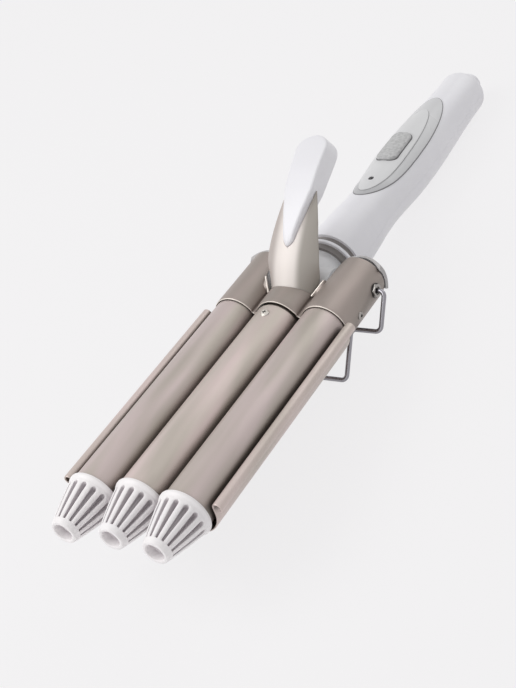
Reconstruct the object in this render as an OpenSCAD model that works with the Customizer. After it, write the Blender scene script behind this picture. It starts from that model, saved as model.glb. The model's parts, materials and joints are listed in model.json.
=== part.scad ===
// Triple-barrel hair waver: two heated barrels on a sprung clamp close over a
// wave-shaped heated plate with a third barrel under its ridge.
// Millimetres. Barrels point along -Y, the handle along +Y, +Z is up.
// The part stands as it is put down hot: on its wire stand and the handle's end.

/* [Barrels] */
// Diameter of the two outer barrels
barrel_d = 25; // [19:0.5:32]
// Free gap between neighbouring barrels
barrel_gap = 2.1; // [1.9:0.1:4]
// Length of the barrels that shows in front of the collars
barrel_show = 134.7; // [90:0.1:170]
// Wall thickness of the barrel tubes
barrel_wall = 0.8; // [0.6:0.1:1.2]

/* [Tips] */
// Length of a tip from the back of its rim to the nose
tip_len = 26.4; // [22:0.1:34]
// Width of the rim that caps the barrel
tip_rim_w = 2.2; // [1.5:0.1:3]
// Air left between a tip's rim and the next barrel
tip_rim_gap = 0.8; // [0.4:0.1:1]
// Number of cooling slots round a tip
tip_slots = 14; // [10:1:18]
// Width of a cooling slot
tip_slot_w = 2.9; // [1.6:0.1:3.2]
// Wall thickness of a tip
tip_wall = 1.6; // [1.2:0.1:2.2]
// Diameter of the nose
nose_d = 13; // [12:0.1:15]
// Diameter of the recess in the nose
nose_hole_d = 9.8; // [7:0.1:10]
// Depth of the recess in the nose
nose_hole_depth = 5; // [3:0.1:5.5]

/* [Wave plate] */
// Thickness of the sheet of the plate, collars and lever
sheet_t = 0.9; // [0.7:0.05:1.1]
// How far the ridge stands above the outer barrels
ridge_rise = 0.3; // [0.1:0.1:0.8]
// Air between the centre barrel and the sheet over it
ridge_gap = 0.2; // [0.1:0.05:0.5]
// Height of the plate's edge above the barrel axes
lip_top = 5.8; // [5.2:0.1:8]
// Outer radius of the curled edge
curl_r = 2.7; // [2.2:0.1:3.2]
// How far round the curl is rolled, in degrees
curl_wrap = 250; // [180:10:270]

/* [Clamp] */
// Length of the collars in front of the hinge
collar_ahead = 32.1; // [28:0.1:40]
// Length of the collars behind the hinge
collar_behind = 9.7; // [8:0.1:9.8]
// Depth of the collar's outer skirt below the barrel axes
skirt_drop = 9.8; // [7:0.1:10.5]
// Air between the middle arch and the sheet of the ridge
arch_gap = 0.65; // [0.5:0.05:0.9]
// Largest opening angle of the clamp
open_angle = 26; // [15:1:26]

/* [Lever] */
// Width of the lever blade at its widest
lever_w = 32; // [28:0.5:34]
// Width of the thumb rest
rest_w = 17.6; // [14:0.2:19]
// Length of the thumb rest from the bottom of its notch
rest_len = 63; // [50:0.5:70]
// Width of the thumb rest at its round end
rest_end_w = 18.6; // [16:0.2:20]
// Depth of the thumb rest at its free end
rest_depth = 10.4; // [7:0.1:12]
// Wall thickness of the thumb rest
rest_wall = 2; // [1.5:0.1:2.5]

/* [Stand] */
// Diameter of the stand wire
wire_d = 2.5; // [2:0.1:3]
// Length of the stand from the hinge to its foot
stand_len = 47.5; // [42:0.5:56]
// Distance from the hinge to the step in the stand
stand_step = 20.8; // [20.2:0.1:24]
// Half width of the stand at its foot
stand_foot_x = 28.2; // [26:0.2:32]
// How far the stand leans forward of square
stand_lean = 40; // [30:1:46]
// Bend radius of the wire at its centre line
wire_bend = 3; // [2.6:0.1:4]

/* [Handle] */
// Length of the handle behind its front ring
handle_len = 177; // [170:1:190]
// How far the handle's axis lies below the barrel axes
handle_drop = 2.3; // [0:0.1:3]
// Radius of the handle at its front end
handle_front_r = 17.4; // [16.8:0.1:19]
// Radius of the handle at its waist
handle_waist_r = 14.9; // [14.5:0.1:16]
// Radius of the handle at its belly
handle_belly_r = 16.7; // [16.4:0.1:18.5]
// Radius of the handle at its end
handle_end_r = 13.8; // [13.4:0.1:15]
// Wall thickness of the handle shells
handle_wall = 2.4; // [2:0.1:2.6]

/* [Controls] */
// Length of the inlay on top of the handle
inlay_len = 102; // [98:1:106]
// Width of the inlay
inlay_w = 26.6; // [25:0.2:27]
// Width of the raised panel inside the inlay
panel_w = 19; // [17:0.2:20]
// Length of the power button
button_len = 26.4; // [20:0.2:30]
// Width of the power button
button_w = 12.6; // [10:0.2:13]
// How far the button goes down when it is pressed
button_travel = 0.8; // [0.4:0.1:1]
// Diameter of the pilot light
pilot_d = 3.2; // [2.4:0.1:4]

/* [Cord inlet] */
// Diameter of the hole for the cord
cord_hole_d = 7; // [5:0.1:8]
// Outer diameter of the swivel bush
swivel_d = 13.6; // [12:0.1:15]
// How far the swivel bush stands out of the handle
swivel_out = 8; // [5:0.5:12]

/* [Hidden] */
$fn = 72;

eps = 0.01;
// Clearances: a running fit, a push fit between fixed pieces, and free air
run_fit = 0.06;
push_fit = 0.05;
free_air = 0.35;

barrel_r = barrel_d / 2;
pitch = barrel_d + barrel_gap;
ridge_r = barrel_r + ridge_rise;
trough_r = pitch - ridge_r;
centre_r = ridge_r - sheet_t - ridge_gap;
collar_in = barrel_r + push_fit;
collar_out = collar_in + sheet_t;
arch_in = ridge_r + arch_gap;
arch_out = arch_in + sheet_t;
wire_r = wire_d / 2;

// Stations along Y, from the hinge axis
collar_front = -collar_ahead;
barrel_front = collar_front - barrel_show;
rim_stagger = tip_rim_w;
plate_front = barrel_front + rim_stagger + 0.2;
plate_rear = collar_front - 1.2;
ball_r = barrel_r - 0.3;
barrel_rear = -ball_r - 0.8;
yoke_face = -12;
spigot_len = 12;
neck_rear = 15.5;
ring_gap_w = 3.8;
ring_w = 2;
handle_front = neck_rear + ring_gap_w * 2 + ring_w;
handle_rear = handle_front + handle_len;
handle_z = -handle_drop;

// Hinge pieces
eyelet_out_r = 2.6;
eyelet_in_r = wire_r + run_fit;
eyelet_head_r = 3.9;
eyelet_head_t = 1.3;
eyelet_len = 9;
eyelet_x = pitch + collar_out + 0.12;

// ---------------------------------------------------------------- helpers

// Turns a flat x-z outline into a bar from y0 to y1
module bar_y(y0, y1) {
    translate([0, y1, 0]) rotate([90, 0, 0]) linear_extrude(y1 - y0) children();
}

// Cylinder along Y from y0 to y1
module rod_y(r, y0, y1, x = 0, z = 0) {
    translate([x, y0, z]) rotate([-90, 0, 0]) cylinder(r = r, h = y1 - y0);
}

// Cylinder along X from x0 to x1
module rod_x(r, x0, x1, y = 0, z = 0) {
    translate([x0, y, z]) rotate([0, 90, 0]) cylinder(r = r, h = x1 - x0);
}

// Turns a radius-y outline about a line along Y
module turned_y(x = 0, z = 0) {
    translate([x, 0, z]) rotate([-90, 0, 0]) rotate_extrude() children();
}

module box(x0, x1, y0, y1, z0, z1) {
    translate([x0, y0, z0]) cube([x1 - x0, y1 - y0, z1 - z0]);
}

// A ring sector in the flat: radii r0 to r1, angles a0 to a1
module arc_band(r0, r1, a0, a1) {
    steps = ceil((a1 - a0) / 40);
    reach = r1 * 1.6;
    intersection() {
        difference() {
            circle(r = r1);
            circle(r = r0);
        }
        polygon(concat([[0, 0]], [
            for (i = [0 : steps])
                let (a = a0 + (a1 - a0) * i / steps) reach * [cos(a), sin(a)]
        ]));
    }
}

// Tubes with an inner and an outer radius
module tube_y(r_out, r_in, y0, y1, x = 0, z = 0) {
    difference() {
        rod_y(r_out, y0, y1, x, z);
        rod_y(r_in, y0 - 1, y1 + 1, x, z);
    }
}

// Round wire along right-angled points in the x-y plane, bent at each corner
module bent_wire(pts, r, bend) {
    n = len(pts);
    dir = [for (i = [0 : n - 2]) (pts[i + 1] - pts[i]) / norm(pts[i + 1] - pts[i])];
    for (i = [0 : n - 2]) {
        a = i == 0 ? pts[0] : pts[i] + dir[i] * bend;
        b = i == n - 2 ? pts[n - 1] : pts[i + 1] - dir[i] * bend;
        translate([a.x, a.y, 0])
            rotate([0, 90, atan2(dir[i].y, dir[i].x)])
                cylinder(r = r, h = norm(b - a));
    }
    for (i = [1 : n - 2]) {
        c = pts[i] - dir[i - 1] * bend + dir[i] * bend;
        turn = dir[i - 1].x * dir[i].y - dir[i - 1].y * dir[i].x;
        start = atan2(-dir[i].y, -dir[i].x);
        translate([c.x, c.y, 0])
            rotate([0, 0, turn > 0 ? start : start - 90])
                rotate_extrude(angle = 90) translate([bend, 0]) circle(r = r, $fn = 32);
    }
}

// Pan-head screw along -Z with a crossed recess, its head's underside at z = 0
module cross_screw(head_r, head_h, shank_r, shank_len) {
    difference() {
        union() {
            cylinder(r1 = head_r, r2 = head_r * 0.72, h = head_h);
            translate([0, 0, -shank_len]) cylinder(r = shank_r, h = shank_len + eps);
        }
        for (a = [0, 90])
            rotate([0, 0, a]) translate([-head_r * 0.55, -head_r * 0.11, head_h * 0.35])
                cube([head_r * 1.1, head_r * 0.22, head_h]);
    }
}

// ---------------------------------------------------- stance on the table

// Radius of the handle at distance s behind its front end
function handle_r(s) = lookup(s / handle_len, [
    [0.00, handle_front_r], [0.05, handle_front_r - 0.12], [0.10, handle_front_r - 0.5],
    [0.16, handle_waist_r * 0.45 + handle_front_r * 0.55],
    [0.22, handle_waist_r + 0.35], [0.28, handle_waist_r], [0.34, handle_waist_r + 0.25],
    [0.40, handle_waist_r * 0.45 + handle_belly_r * 0.55], [0.46, handle_belly_r - 0.2],
    [0.52, handle_belly_r], [0.58, handle_belly_r - 0.08], [0.65, handle_belly_r - 0.4],
    [0.74, handle_belly_r * 0.55 + handle_end_r * 0.45], [0.84, handle_end_r + 0.55],
    [0.92, handle_end_r + 0.1], [0.965, handle_end_r], [1.00, handle_end_r]
]);
end_round = 4;
stations = 34;
handle_body_pts = [
    for (i = [0 : stations])
        let (s = (handle_len - end_round) * i / stations) [handle_r(s), handle_front + s]
];
handle_end_pts = [
    for (a = [15 : 15 : 90])
        [handle_end_r - end_round * (1 - cos(a)), handle_rear - end_round + end_round * sin(a)]
];
handle_pts = concat(handle_body_pts, handle_end_pts);

// The foot of the stand, and the tilt at which the handle meets the table as well
foot_y = -stand_len * sin(stand_lean);
foot_z = -stand_len * cos(stand_lean);
function touch_tilt(y, z) =
    let (dy = y - foot_y, dz = foot_z - z)
    asin(wire_r / norm([dy, dz])) - atan2(dz, dy);
rest_tilt = min([for (p = handle_pts) touch_tilt(p.y, handle_z - p.x)]);
function tilted_y(y, z) = y * cos(rest_tilt) + z * sin(rest_tilt);
function tilted_z(y, z) = z * cos(rest_tilt) - y * sin(rest_tilt);
lowest = tilted_z(foot_y, foot_z) - wire_r;
nose_y = barrel_front - tip_len;
front_most = tilted_y(nose_y, -nose_d / 2);
rear_most = tilted_y(handle_rear + swivel_out, handle_z + swivel_d / 2);
mid_y = (front_most + rear_most) / 2;

module place() {
    translate([0, -mid_y, -lowest]) rotate([-rest_tilt, 0, 0]) children();
}

// ------------------------------------------------------------------ tips

tip_rim_r = pitch - barrel_r - tip_rim_gap;
tip_shoulder_r = tip_rim_r - 0.85;

// Outer outline of a tip, [radius, distance ahead of the rim's back]
tip_slot_narrow = tip_slot_w * 0.42;
function tip_r(t) = nose_d / 2 + (tip_shoulder_r - nose_d / 2) * pow(1 - pow(t, 1.15), 0.92);
tip_side = [
    for (t = [0 : 0.1 : 1]) [tip_r(t), tip_rim_w + (tip_len - tip_rim_w) * t]
];
module tip(bore_r) {
    plug_len = 7;
    slot_from = tip_rim_w + 1.6;
    slot_to = tip_len * 0.86;
    difference() {
        turned_y() polygon([for (p = concat(
            [[bore_r - 2, plug_len * -1], [bore_r, plug_len * -1], [bore_r, 0], [tip_rim_r, 0],
             [tip_rim_r, tip_rim_w - 1.2], [tip_rim_r - 0.35, tip_rim_w - 0.5]],
            tip_side,
            [[nose_hole_d / 2, tip_len], [nose_hole_d / 2, tip_len - nose_hole_depth],
             [0, tip_len - nose_hole_depth], [0, tip_len - nose_hole_depth - tip_wall],
             [nose_d / 2 - tip_wall, tip_len - nose_hole_depth - tip_wall],
             [tip_r(0.5) - tip_wall, tip_rim_w + (tip_len - tip_rim_w) * 0.5],
             [bore_r - 2, tip_rim_w]]
        )) [p.x, -p.y]]);
        // Slots that narrow towards the nose, with round ends
        for (i = [0 : tip_slots - 1])
            rotate([0, (i + 0.5) * 360 / tip_slots, 0])
                translate([0, 0, 6.2]) linear_extrude(tip_rim_r) {
                    polygon([[-tip_slot_w / 2, -slot_from], [tip_slot_w / 2, -slot_from],
                        [tip_slot_narrow / 2, -slot_to], [-tip_slot_narrow / 2, -slot_to]]);
                    translate([0, -slot_to]) circle(d = tip_slot_narrow, $fn = 24);
                }
    }
}

outer_bore = barrel_r - barrel_wall - push_fit;
centre_bore = centre_r - barrel_wall - push_fit;
tip_white = [0.95, 0.95, 0.95];

module left_tip() color(tip_white) place() translate([-pitch, barrel_front, 0]) tip(outer_bore);
module right_tip() color(tip_white) place() translate([pitch, barrel_front, 0]) tip(outer_bore);
module centre_tip() color(tip_white) place()
    translate([0, barrel_front + rim_stagger, 0]) tip(centre_bore);

// --------------------------------------------------------------- barrels

champagne = [0.71, 0.67, 0.64];
side_screw_y = -18.4;
side_screw_z = -2;
side_screw_r = 1.25;
module outer_barrel(side) {
    difference() {
        tube_y(barrel_r, barrel_r - barrel_wall, barrel_front, barrel_rear, side * pitch);
        translate([side * pitch, side_screw_y, side_screw_z]) rotate([0, side * 90, 0])
            cylinder(r = side_screw_r + push_fit, h = barrel_r + 1);
    }
}
module left_barrel() color(champagne) place() outer_barrel(-1);
module right_barrel() color(champagne) place() outer_barrel(1);

plate_screw_y = plate_rear - 7.1;
plate_screw_r = 1.4;
module centre_barrel() color(champagne) place() difference() {
    tube_y(centre_r, centre_r - barrel_wall, barrel_front + rim_stagger, yoke_face - push_fit);
    translate([0, plate_screw_y, 0]) cylinder(r = plate_screw_r + push_fit, h = centre_r + 1);
}

// Plug of heat-proof plastic that closes the back of an outer barrel
base_len = 11;
module barrel_base(side) {
    r = barrel_r - barrel_wall - push_fit;
    difference() {
        rod_y(r, barrel_rear - base_len, barrel_rear - eps, side * pitch);
        rod_y(2.6, barrel_rear - base_len - 1, barrel_rear + 1, side * pitch, -4);
        translate([side * pitch, side_screw_y, side_screw_z]) rotate([0, side * 90, 0])
            translate([0, 0, r - 6.4]) cylinder(r = side_screw_r + push_fit, h = 8);
    }
}
module left_base() color("tan") place() barrel_base(-1);
module right_base() color("tan") place() barrel_base(1);

// ------------------------------------------------------------ wave plate

// Outline of the sheet in the x-z plane: ridge, two troughs, walls and curls
wall_mid = trough_r + sheet_t / 2;
curl_mid = curl_r - sheet_t / 2;
curl_z = lip_top - curl_r;
module plate_outline() {
    arc_band(ridge_r - sheet_t, ridge_r, 0, 180);
    for (side = [-1, 1]) scale([side, 1]) {
        translate([pitch, 0]) arc_band(trough_r, trough_r + sheet_t, 180, 360);
        translate([pitch + trough_r, 0]) square([sheet_t, curl_z]);
        translate([pitch + wall_mid + curl_mid, curl_z])
            arc_band(curl_mid - sheet_t / 2, curl_mid + sheet_t / 2, 180 - curl_wrap, 180);
    }
}
module wave_plate() color(champagne) place() difference() {
    bar_y(plate_front, plate_rear) plate_outline();
    translate([0, plate_screw_y, 0]) cylinder(r = plate_screw_r + push_fit, h = ridge_r + 1);
}
module plate_screw() color("silver") place()
    translate([0, plate_screw_y, ridge_r]) cross_screw(2.4, 0.9, plate_screw_r, 5);

// ---------------------------------------------------------------- heaters

heater_len = 74;
heater_w = 13;
heater_t = 4.4;
clip_t = 0.8;
heater_y = barrel_front + 30;
module heater(x) {
    box(x - heater_w / 2, x + heater_w / 2, heater_y, heater_y + heater_len,
        -heater_t / 2, heater_t / 2);
}
// Sprung clip: a half ring against the barrel with a flat seat under the heater
module heater_clip(x, r) {
    seat_z = -heater_t / 2;
    seat_x = sqrt(r * r - pow(seat_z - clip_t, 2));
    translate([x, 0, 0]) bar_y(heater_y + 4, heater_y + heater_len - 4) {
        arc_band(r - clip_t, r, 182, 358);
        intersection() {
            circle(r = r - eps);
            translate([-r, seat_z - clip_t]) square([2 * r, clip_t]);
        }
    }
}
clip_outer = barrel_r - barrel_wall - push_fit;
clip_centre = centre_r - barrel_wall - push_fit;
module centre_heater() color("ivory") place() heater(0);
module left_heater() color("ivory") place() heater(-pitch);
module right_heater() color("ivory") place() heater(pitch);
module centre_heater_clip() color("silver") place() heater_clip(0, clip_centre);
module left_heater_clip() color("silver") place() heater_clip(-pitch, clip_outer);
module right_heater_clip() color("silver") place() heater_clip(pitch, clip_outer);

thermostat_y = heater_y + heater_len - 22;
module thermostat() color("dimgray") place()
    translate([0, thermostat_y, heater_t / 2]) cylinder(r = 4.2, h = 3.6);

// Two insulated leads from the centre heater to the circuit board
lead_r = 0.9;
lead_x = 4.6;
lead_low = -5.1;
board_y0 = handle_front + 30;
board_z = handle_z + 2;
module centre_leads() color("firebrick") place() for (side = [-1, 1])
    translate([side * lead_x, 0, 0]) rotate([90, 0, 90]) bent_wire([
        [heater_y + heater_len + 0.02, 0], [heater_y + heater_len + 10, 0],
        [heater_y + heater_len + 10, lead_low], [board_y0 - 15, lead_low],
        [board_y0 - 15, board_z + 0.8], [board_y0 - 0.02, board_z + 0.8]
    ], lead_r, 2.2);

// ------------------------------------------------------------------- yoke

arm_from = collar_behind / cos(34) + free_air + 0.15;
arm_to = arm_from + 3.4;
arm_x = pitch + collar_out - 0.1;
arm_in = pitch - 7;
// The rear edges of a collar sweep a ball about its own centre
sweep_ball = norm([collar_behind, collar_out]) + 0.45;
housing_low = -32;
housing_high = 38;
bridge_top = 1.5;
module housing_part(r_ball, shift, r_rod) {
    for (side = [-1, 1]) intersection() {
        translate([side * (pitch + shift), 0, 0]) sphere(r = r_ball);
        box(side < 0 ? -60 : arm_in, side < 0 ? -arm_in : 60, -60, 60, -60, 60);
    }
    rod_x(r_rod, -arm_in, arm_in);
}
// Two thin cups behind the collars, joined by a bridge, between two angles at the hinge
module housing() {
    far = 2 * pitch;
    difference() {
        intersection() {
            housing_part(sweep_ball + 0.9, 1.2, arm_to);
            translate([-arm_x, 0, 0]) rotate([90, 0, 90]) linear_extrude(2 * arm_x) polygon([
                [0, 0], far * [cos(housing_low), sin(housing_low)], [far, 0],
                far * [cos(housing_high), sin(housing_high)]
            ]);
        }
        housing_part(sweep_ball, 0, arm_from);
        // The bridge stays lower than the cups
        box(-arm_in + 0.02, arm_in - 0.02, 4, far, bridge_top, far);
        rod_y(spigot_r + 5, neck_rear - 0.15, neck_rear + 20, 0, handle_z);
    }
}
web_r = 10.3;
web_x = pitch - collar_in * cos(42) - 0.6;
spigot_gap = 0.8;
spigot_r = handle_front_r - handle_wall - spigot_gap;
pocket_x = 6.4;
pin_r = 2.6;
module yoke_solid() {
    for (side = [-1, 1]) translate([side * pitch, 0, 0]) sphere(r = ball_r);
    rod_x(web_r, -web_x, web_x);
    rod_y(centre_r, yoke_face, neck_rear - 4);
    rod_y(centre_r - barrel_wall - push_fit, yoke_face - spigot_len, yoke_face + eps);
    housing();
    turned_y(0, handle_z) polygon([
        [0, 4], [11.5, 4], [13.4, 7.5], [13.4, neck_rear], [0, neck_rear]
    ]);
    rod_y(spigot_r, neck_rear - eps, handle_front + 9, 0, handle_z);
}
module yoke_body() {
    difference() {
        yoke_solid();
        // Way for the leads through the middle
        rod_y(8.6, yoke_face - spigot_len - 1, -5.6);
        rod_y(7.6, 5.6, handle_front + 10, 0, handle_z);
        for (side = [-1, 1]) rod_y(lead_r + 0.5, -6, 6, side * lead_x, lead_low);
        // Pocket for the return spring and the seat of its pin
        box(-pocket_x, pocket_x, -5.6, 5.6, -6.4, ball_r + 2);
        rod_x(pin_r, -pocket_x - 5, pocket_x + 5);
        // Seats of the two hinge eyelets
        for (side = [-1, 1])
            translate([side * (eyelet_x - eyelet_len), 0, 0]) rotate([0, side * 90, 0])
                cylinder(r = eyelet_out_r + push_fit, h = 20);
        // Lightening pockets in the backs of the balls
        for (side = [-1, 1]) rod_y(7, 1, ball_r + 1, side * (pitch + 1), -1);
    }
}
yoke_split = -0.7 * web_r;
cover_x = 0.72 * handle_front_r;
module yoke() color("whitesmoke") place() difference() {
    yoke_body();
    box(-cover_x, cover_x, yoke_face - spigot_len - 1, neck_rear - 0.2, -pitch, yoke_split);
}
module yoke_cover() color("whitesmoke") place() intersection() {
    yoke_body();
    box(-cover_x + 0.02, cover_x - 0.02, yoke_face - spigot_len - 1, neck_rear - 0.25,
        -pitch, yoke_split - 0.02);
}

// ------------------------------------------------------------------ hinge

module eyelet(side) {
    translate([side * eyelet_x, 0, 0]) rotate([0, side * 90, 0]) difference() {
        union() {
            translate([0, 0, -eyelet_len]) cylinder(r = eyelet_out_r, h = eyelet_len + eps);
            cylinder(r = eyelet_head_r, h = eyelet_head_t, $fn = 6);
        }
        translate([0, 0, -eyelet_len - 1])
            cylinder(r = eyelet_in_r, h = eyelet_len + eyelet_head_t + 2);
    }
}
module left_eyelet() color("silver") place() eyelet(-1);
module right_eyelet() color("silver") place() eyelet(1);
module spring_pin() color("gray") place()
    rod_x(pin_r - push_fit, -pocket_x - 5 + push_fit, pocket_x + 5 - push_fit);

// Torsion spring round the pin: a helix with a leg against the lever and one on the floor
spring_wire = 0.5;
spring_r = pin_r + spring_wire + 0.15;
spring_turns = 6;
spring_half = 4.9;
leg_out_z = centre_r + 1;
leg_tip = [-12.1, 19.3];
spring_path = concat(
    [[spring_half, 5.2, -spring_r], [spring_half, 2.6, -spring_r]],
    [
        for (i = [0 : 24 * spring_turns + 6])
            let (a = i * 15, x = spring_half - 2 * spring_half * i / (24 * spring_turns + 6))
            [x, -spring_r * sin(a), -spring_r * cos(a)]
    ],
    [[-spring_half, -spring_r, 5], [-spring_half, -spring_r, leg_out_z - 2],
     [-spring_half, -spring_r - 1, leg_out_z], [-spring_half, leg_tip[0], leg_tip[1]]]
);
function unit(v) = v / norm(v);
module swept(path, r, sides) {
    n = len(path);
    tang = [for (i = [0 : n - 1]) unit(path[min(i + 1, n - 1)] - path[max(i - 1, 0)])];
    ring = [
        for (i = [0 : n - 1])
            let (
                t = tang[i],
                u = unit(cross(t, abs(t.x) < 0.9 ? [1, 0, 0] : [0, 0, 1])),
                v = cross(t, u)
            )
            for (k = [0 : sides - 1])
                path[i] + r * (cos(k * 360 / sides) * u + sin(k * 360 / sides) * v)
    ];
    polyhedron(ring, concat(
        [[for (k = [0 : sides - 1]) k]],
        [[for (k = [sides - 1 : -1 : 0]) (n - 1) * sides + k]],
        [
            for (i = [0 : n - 2]) for (k = [0 : sides - 1])
                let (a = i * sides + k, b = i * sides + (k + 1) % sides)
                [a, a + sides, b]
        ],
        [
            for (i = [0 : n - 2]) for (k = [0 : sides - 1])
                let (a = i * sides + k, b = i * sides + (k + 1) % sides)
                [b, a + sides, b + sides]
        ]
    ));
}
module return_spring() color("dimgray") place() swept(spring_path, spring_wire, 8);

// ------------------------------------------------------------------ clamp

// Flat outline of the three arches: the envelope of three circles, open below
module arches_outline() {
    difference() {
        union() {
            for (side = [-1, 1]) translate([side * pitch, 0]) circle(r = collar_out);
            circle(r = arch_out);
        }
        for (side = [-1, 1]) translate([side * pitch, 0]) circle(r = collar_in);
        circle(r = arch_in);
        translate([-pitch, -60]) square([2 * pitch, 61.3]);
        translate([-100, -60 - skirt_drop]) square([200, 60]);
    }
}
// Plan of the opening behind the middle arch, where the lever rises between the collars
crease_back = 4.5;
crease_half = 12.3;
crease_y = -19.8;
crease_r = (crease_half * crease_half + crease_back * crease_back) / (2 * crease_back);
slit_y = crease_y + crease_back;
function collar_x(a) = pitch - (collar_in + collar_out) / 2 * cos(a);
module slit_plan() {
    translate([0, crease_y + crease_r]) circle(r = crease_r);
    polygon([
        [-collar_x(45), slit_y + 1.6], [-collar_x(30), slit_y], [collar_x(30), slit_y],
        [collar_x(45), slit_y + 1.6], [collar_x(54), -6], [collar_x(60), 3],
        [collar_x(68), collar_behind + 1], [-collar_x(68), collar_behind + 1],
        [-collar_x(60), 3], [-collar_x(54), -6]
    ]);
}
module clamp_bracket() color(champagne) place() difference() {
    bar_y(collar_front, collar_behind) arches_outline();
    translate([0, 0, 0]) linear_extrude(40) slit_plan();
    for (side = [-1, 1]) {
        translate([side * pitch, 0, 0]) rotate([0, side * 90, 0])
            cylinder(r = eyelet_out_r + run_fit, h = 20);
        translate([side * pitch, side_screw_y, side_screw_z]) rotate([0, side * 90, 0])
            cylinder(r = side_screw_r + push_fit, h = 20);
    }
}
module collar_screws() color("silver") place() for (side = [-1, 1])
    translate([side * (pitch + collar_out - 0.02), side_screw_y, side_screw_z])
        rotate([0, side * 90, 0]) cross_screw(2.1, 0.9, side_screw_r, 6.4);

// The lever: a sheet that comes out from under the middle arch and sweeps back and up.
// Its centre line is stepped off from a table of slopes, and each cross-section is an
// arc that flattens as the blade rises.
lever_step = 2;
notch_s = 21;
horn_s = 52;
lever_rows = horn_s / lever_step;
function slope_at(s) = lookup(s, [
    [0, 56], [10, 51], [21, 42], [32, 36], [50, 34.5], [66, 31], [80, 24], [90, 20]
]);
function bow_at(s) = lookup(s, [[0, 13], [6, 16.5], [14, 21], [25, 22], [60, 24]]);
function half_at(s) = lever_w / 32 * lookup(s, [
    [0, 12.2], [3, 14.2], [6, 15.5], [10, 15.9], [14, 16], [20, 15.6], [26, 14.7],
    [36, 13], [43, 11.5], [52, 9.3]
]);
function notch_at(s) = s <= notch_s ? 0
    : let (u = (s - notch_s) / (horn_s - notch_s))
        rest_w / 2 * (0.72 * u + 0.28 * sqrt(min(1, u / 0.1)));
rest_gap = 0.3;
function centre_line(s, ds = 0.5) = s <= 0 ? [crease_y, arch_in]
    : centre_line(s - ds) + ds * [cos(slope_at(s - ds / 2)), sin(slope_at(s - ds / 2))];
// A point at s along the blade, x across it and t below its upper face
function blade_pt(s, x, t) =
    let (
        r = bow_at(s), a = asin(x / r), m = slope_at(s), c = centre_line(s),
        drop = r - (r - t) * cos(a),
        free = [(r - t) * sin(a), c[0] + drop * sin(m), c[1] - drop * cos(m)],
        ar = arch_in - 0.02, aa = asin(min(0.99, x / ar)),
        foot = [(ar - t) * sin(aa), crease_y + 0.1 + crease_back * pow(x / crease_half, 2) * 0.8,
                (ar - t) * cos(aa)],
        k = min(1, s / 8), w = k * k * (3 - 2 * k)
    )
    free * w + foot * (1 - w);
module sheet_grid(rows, cols, top, bottom) {
    nu = cols;
    n = rows * nu;
    pts = concat(top, bottom);
    polyhedron(pts, concat(
        [for (i = [0 : rows - 2]) for (j = [0 : nu - 2])
            [i * nu + j, (i + 1) * nu + j, i * nu + j + 1]],
        [for (i = [0 : rows - 2]) for (j = [0 : nu - 2])
            [(i + 1) * nu + j, (i + 1) * nu + j + 1, i * nu + j + 1]],
        [for (i = [0 : rows - 2]) for (j = [0 : nu - 2])
            [n + i * nu + j, n + i * nu + j + 1, n + (i + 1) * nu + j]],
        [for (i = [0 : rows - 2]) for (j = [0 : nu - 2])
            [n + (i + 1) * nu + j, n + i * nu + j + 1, n + (i + 1) * nu + j + 1]],
        [for (j = [0 : nu - 2]) [j, j + 1, n + j]],
        [for (j = [0 : nu - 2]) [n + j, j + 1, n + j + 1]],
        [for (j = [0 : nu - 2]) let (a = (rows - 1) * nu + j) [a, n + a, a + 1]],
        [for (j = [0 : nu - 2]) let (a = (rows - 1) * nu + j) [n + a, n + a + 1, a + 1]],
        [for (i = [0 : rows - 2]) [i * nu, n + i * nu, (i + 1) * nu]],
        [for (i = [0 : rows - 2]) [n + i * nu, n + (i + 1) * nu, (i + 1) * nu]],
        [for (i = [0 : rows - 2]) let (a = i * nu + nu - 1) [a, a + nu, n + a]],
        [for (i = [0 : rows - 2]) let (a = i * nu + nu - 1) [n + a, a + nu, n + a + nu]]
    ));
}
lever_cols = 9;
module lever_half(side) {
    grid = [for (t = [0, sheet_t]) [
        for (i = [0 : lever_rows]) for (j = [0 : lever_cols - 1])
            let (
                s = i * lever_step,
                x0 = max(notch_at(s), 0),
                x1 = max(half_at(s), notch_at(s) + 0.5),
                x = x0 + (x1 - x0) * j / (lever_cols - 1)
            )
            blade_pt(s, x, t)
    ]];
    scale([side, 1, 1]) sheet_grid(lever_rows + 1, lever_cols, grid[0], grid[1]);
}
foot_len = 9;
module thumb_lever() color("silver") place() {
    for (side = [-1, 1]) mirror([side < 0 ? 1 : 0, 0, 0]) lever_half(1);
    // The foot that is welded under the middle arch
    difference() {
        bar_y(crease_y - foot_len, crease_y + 0.35)
            rotate(90) arc_band(arch_in - 0.02 - sheet_t, arch_in - 0.02, -38, 38);
    }
}

// Thumb rest: the arrow-shaped plastic grip that fills the notch and carries on above it
rest_base = centre_line(notch_s);
rest_end = centre_line(notch_s + rest_len);
rest_chord = atan2(rest_end[1] - rest_base[1], rest_end[0] - rest_base[0]);
rest_span = norm(rest_end - rest_base);
// Height of its top over the chord, at a share t of the way to its end
function rest_top(t) = lookup(t, [
    [0, 1.2], [0.1, 3], [0.2, 3.9], [0.32, 4.6], [0.46, 4.7], [0.67, 4.4], [0.8, 3.5],
    [0.9, 2.1], [0.96, 0.9], [1, -0.4]
]);
// Plan along the chord, with the walls taken in by an amount
module rest_plan(inset = 0) {
    r = rest_end_w / 2 - inset;
    straight = rest_span - rest_end_w / 2;
    side = [
        for (s = [1 + 3 * inset : 3 : horn_s - notch_s])
            [s, max(notch_at(notch_s + s) - rest_gap - inset, 0.05)]
    ];
    n = len(side);
    polygon(concat(
        side,
        [for (a = [90 : -15 : -90]) [straight + r * cos(a), r * sin(a)]],
        [for (i = [n - 1 : -1 : 0]) [side[i].x, -side[i].y]]
    ));
}
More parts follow.
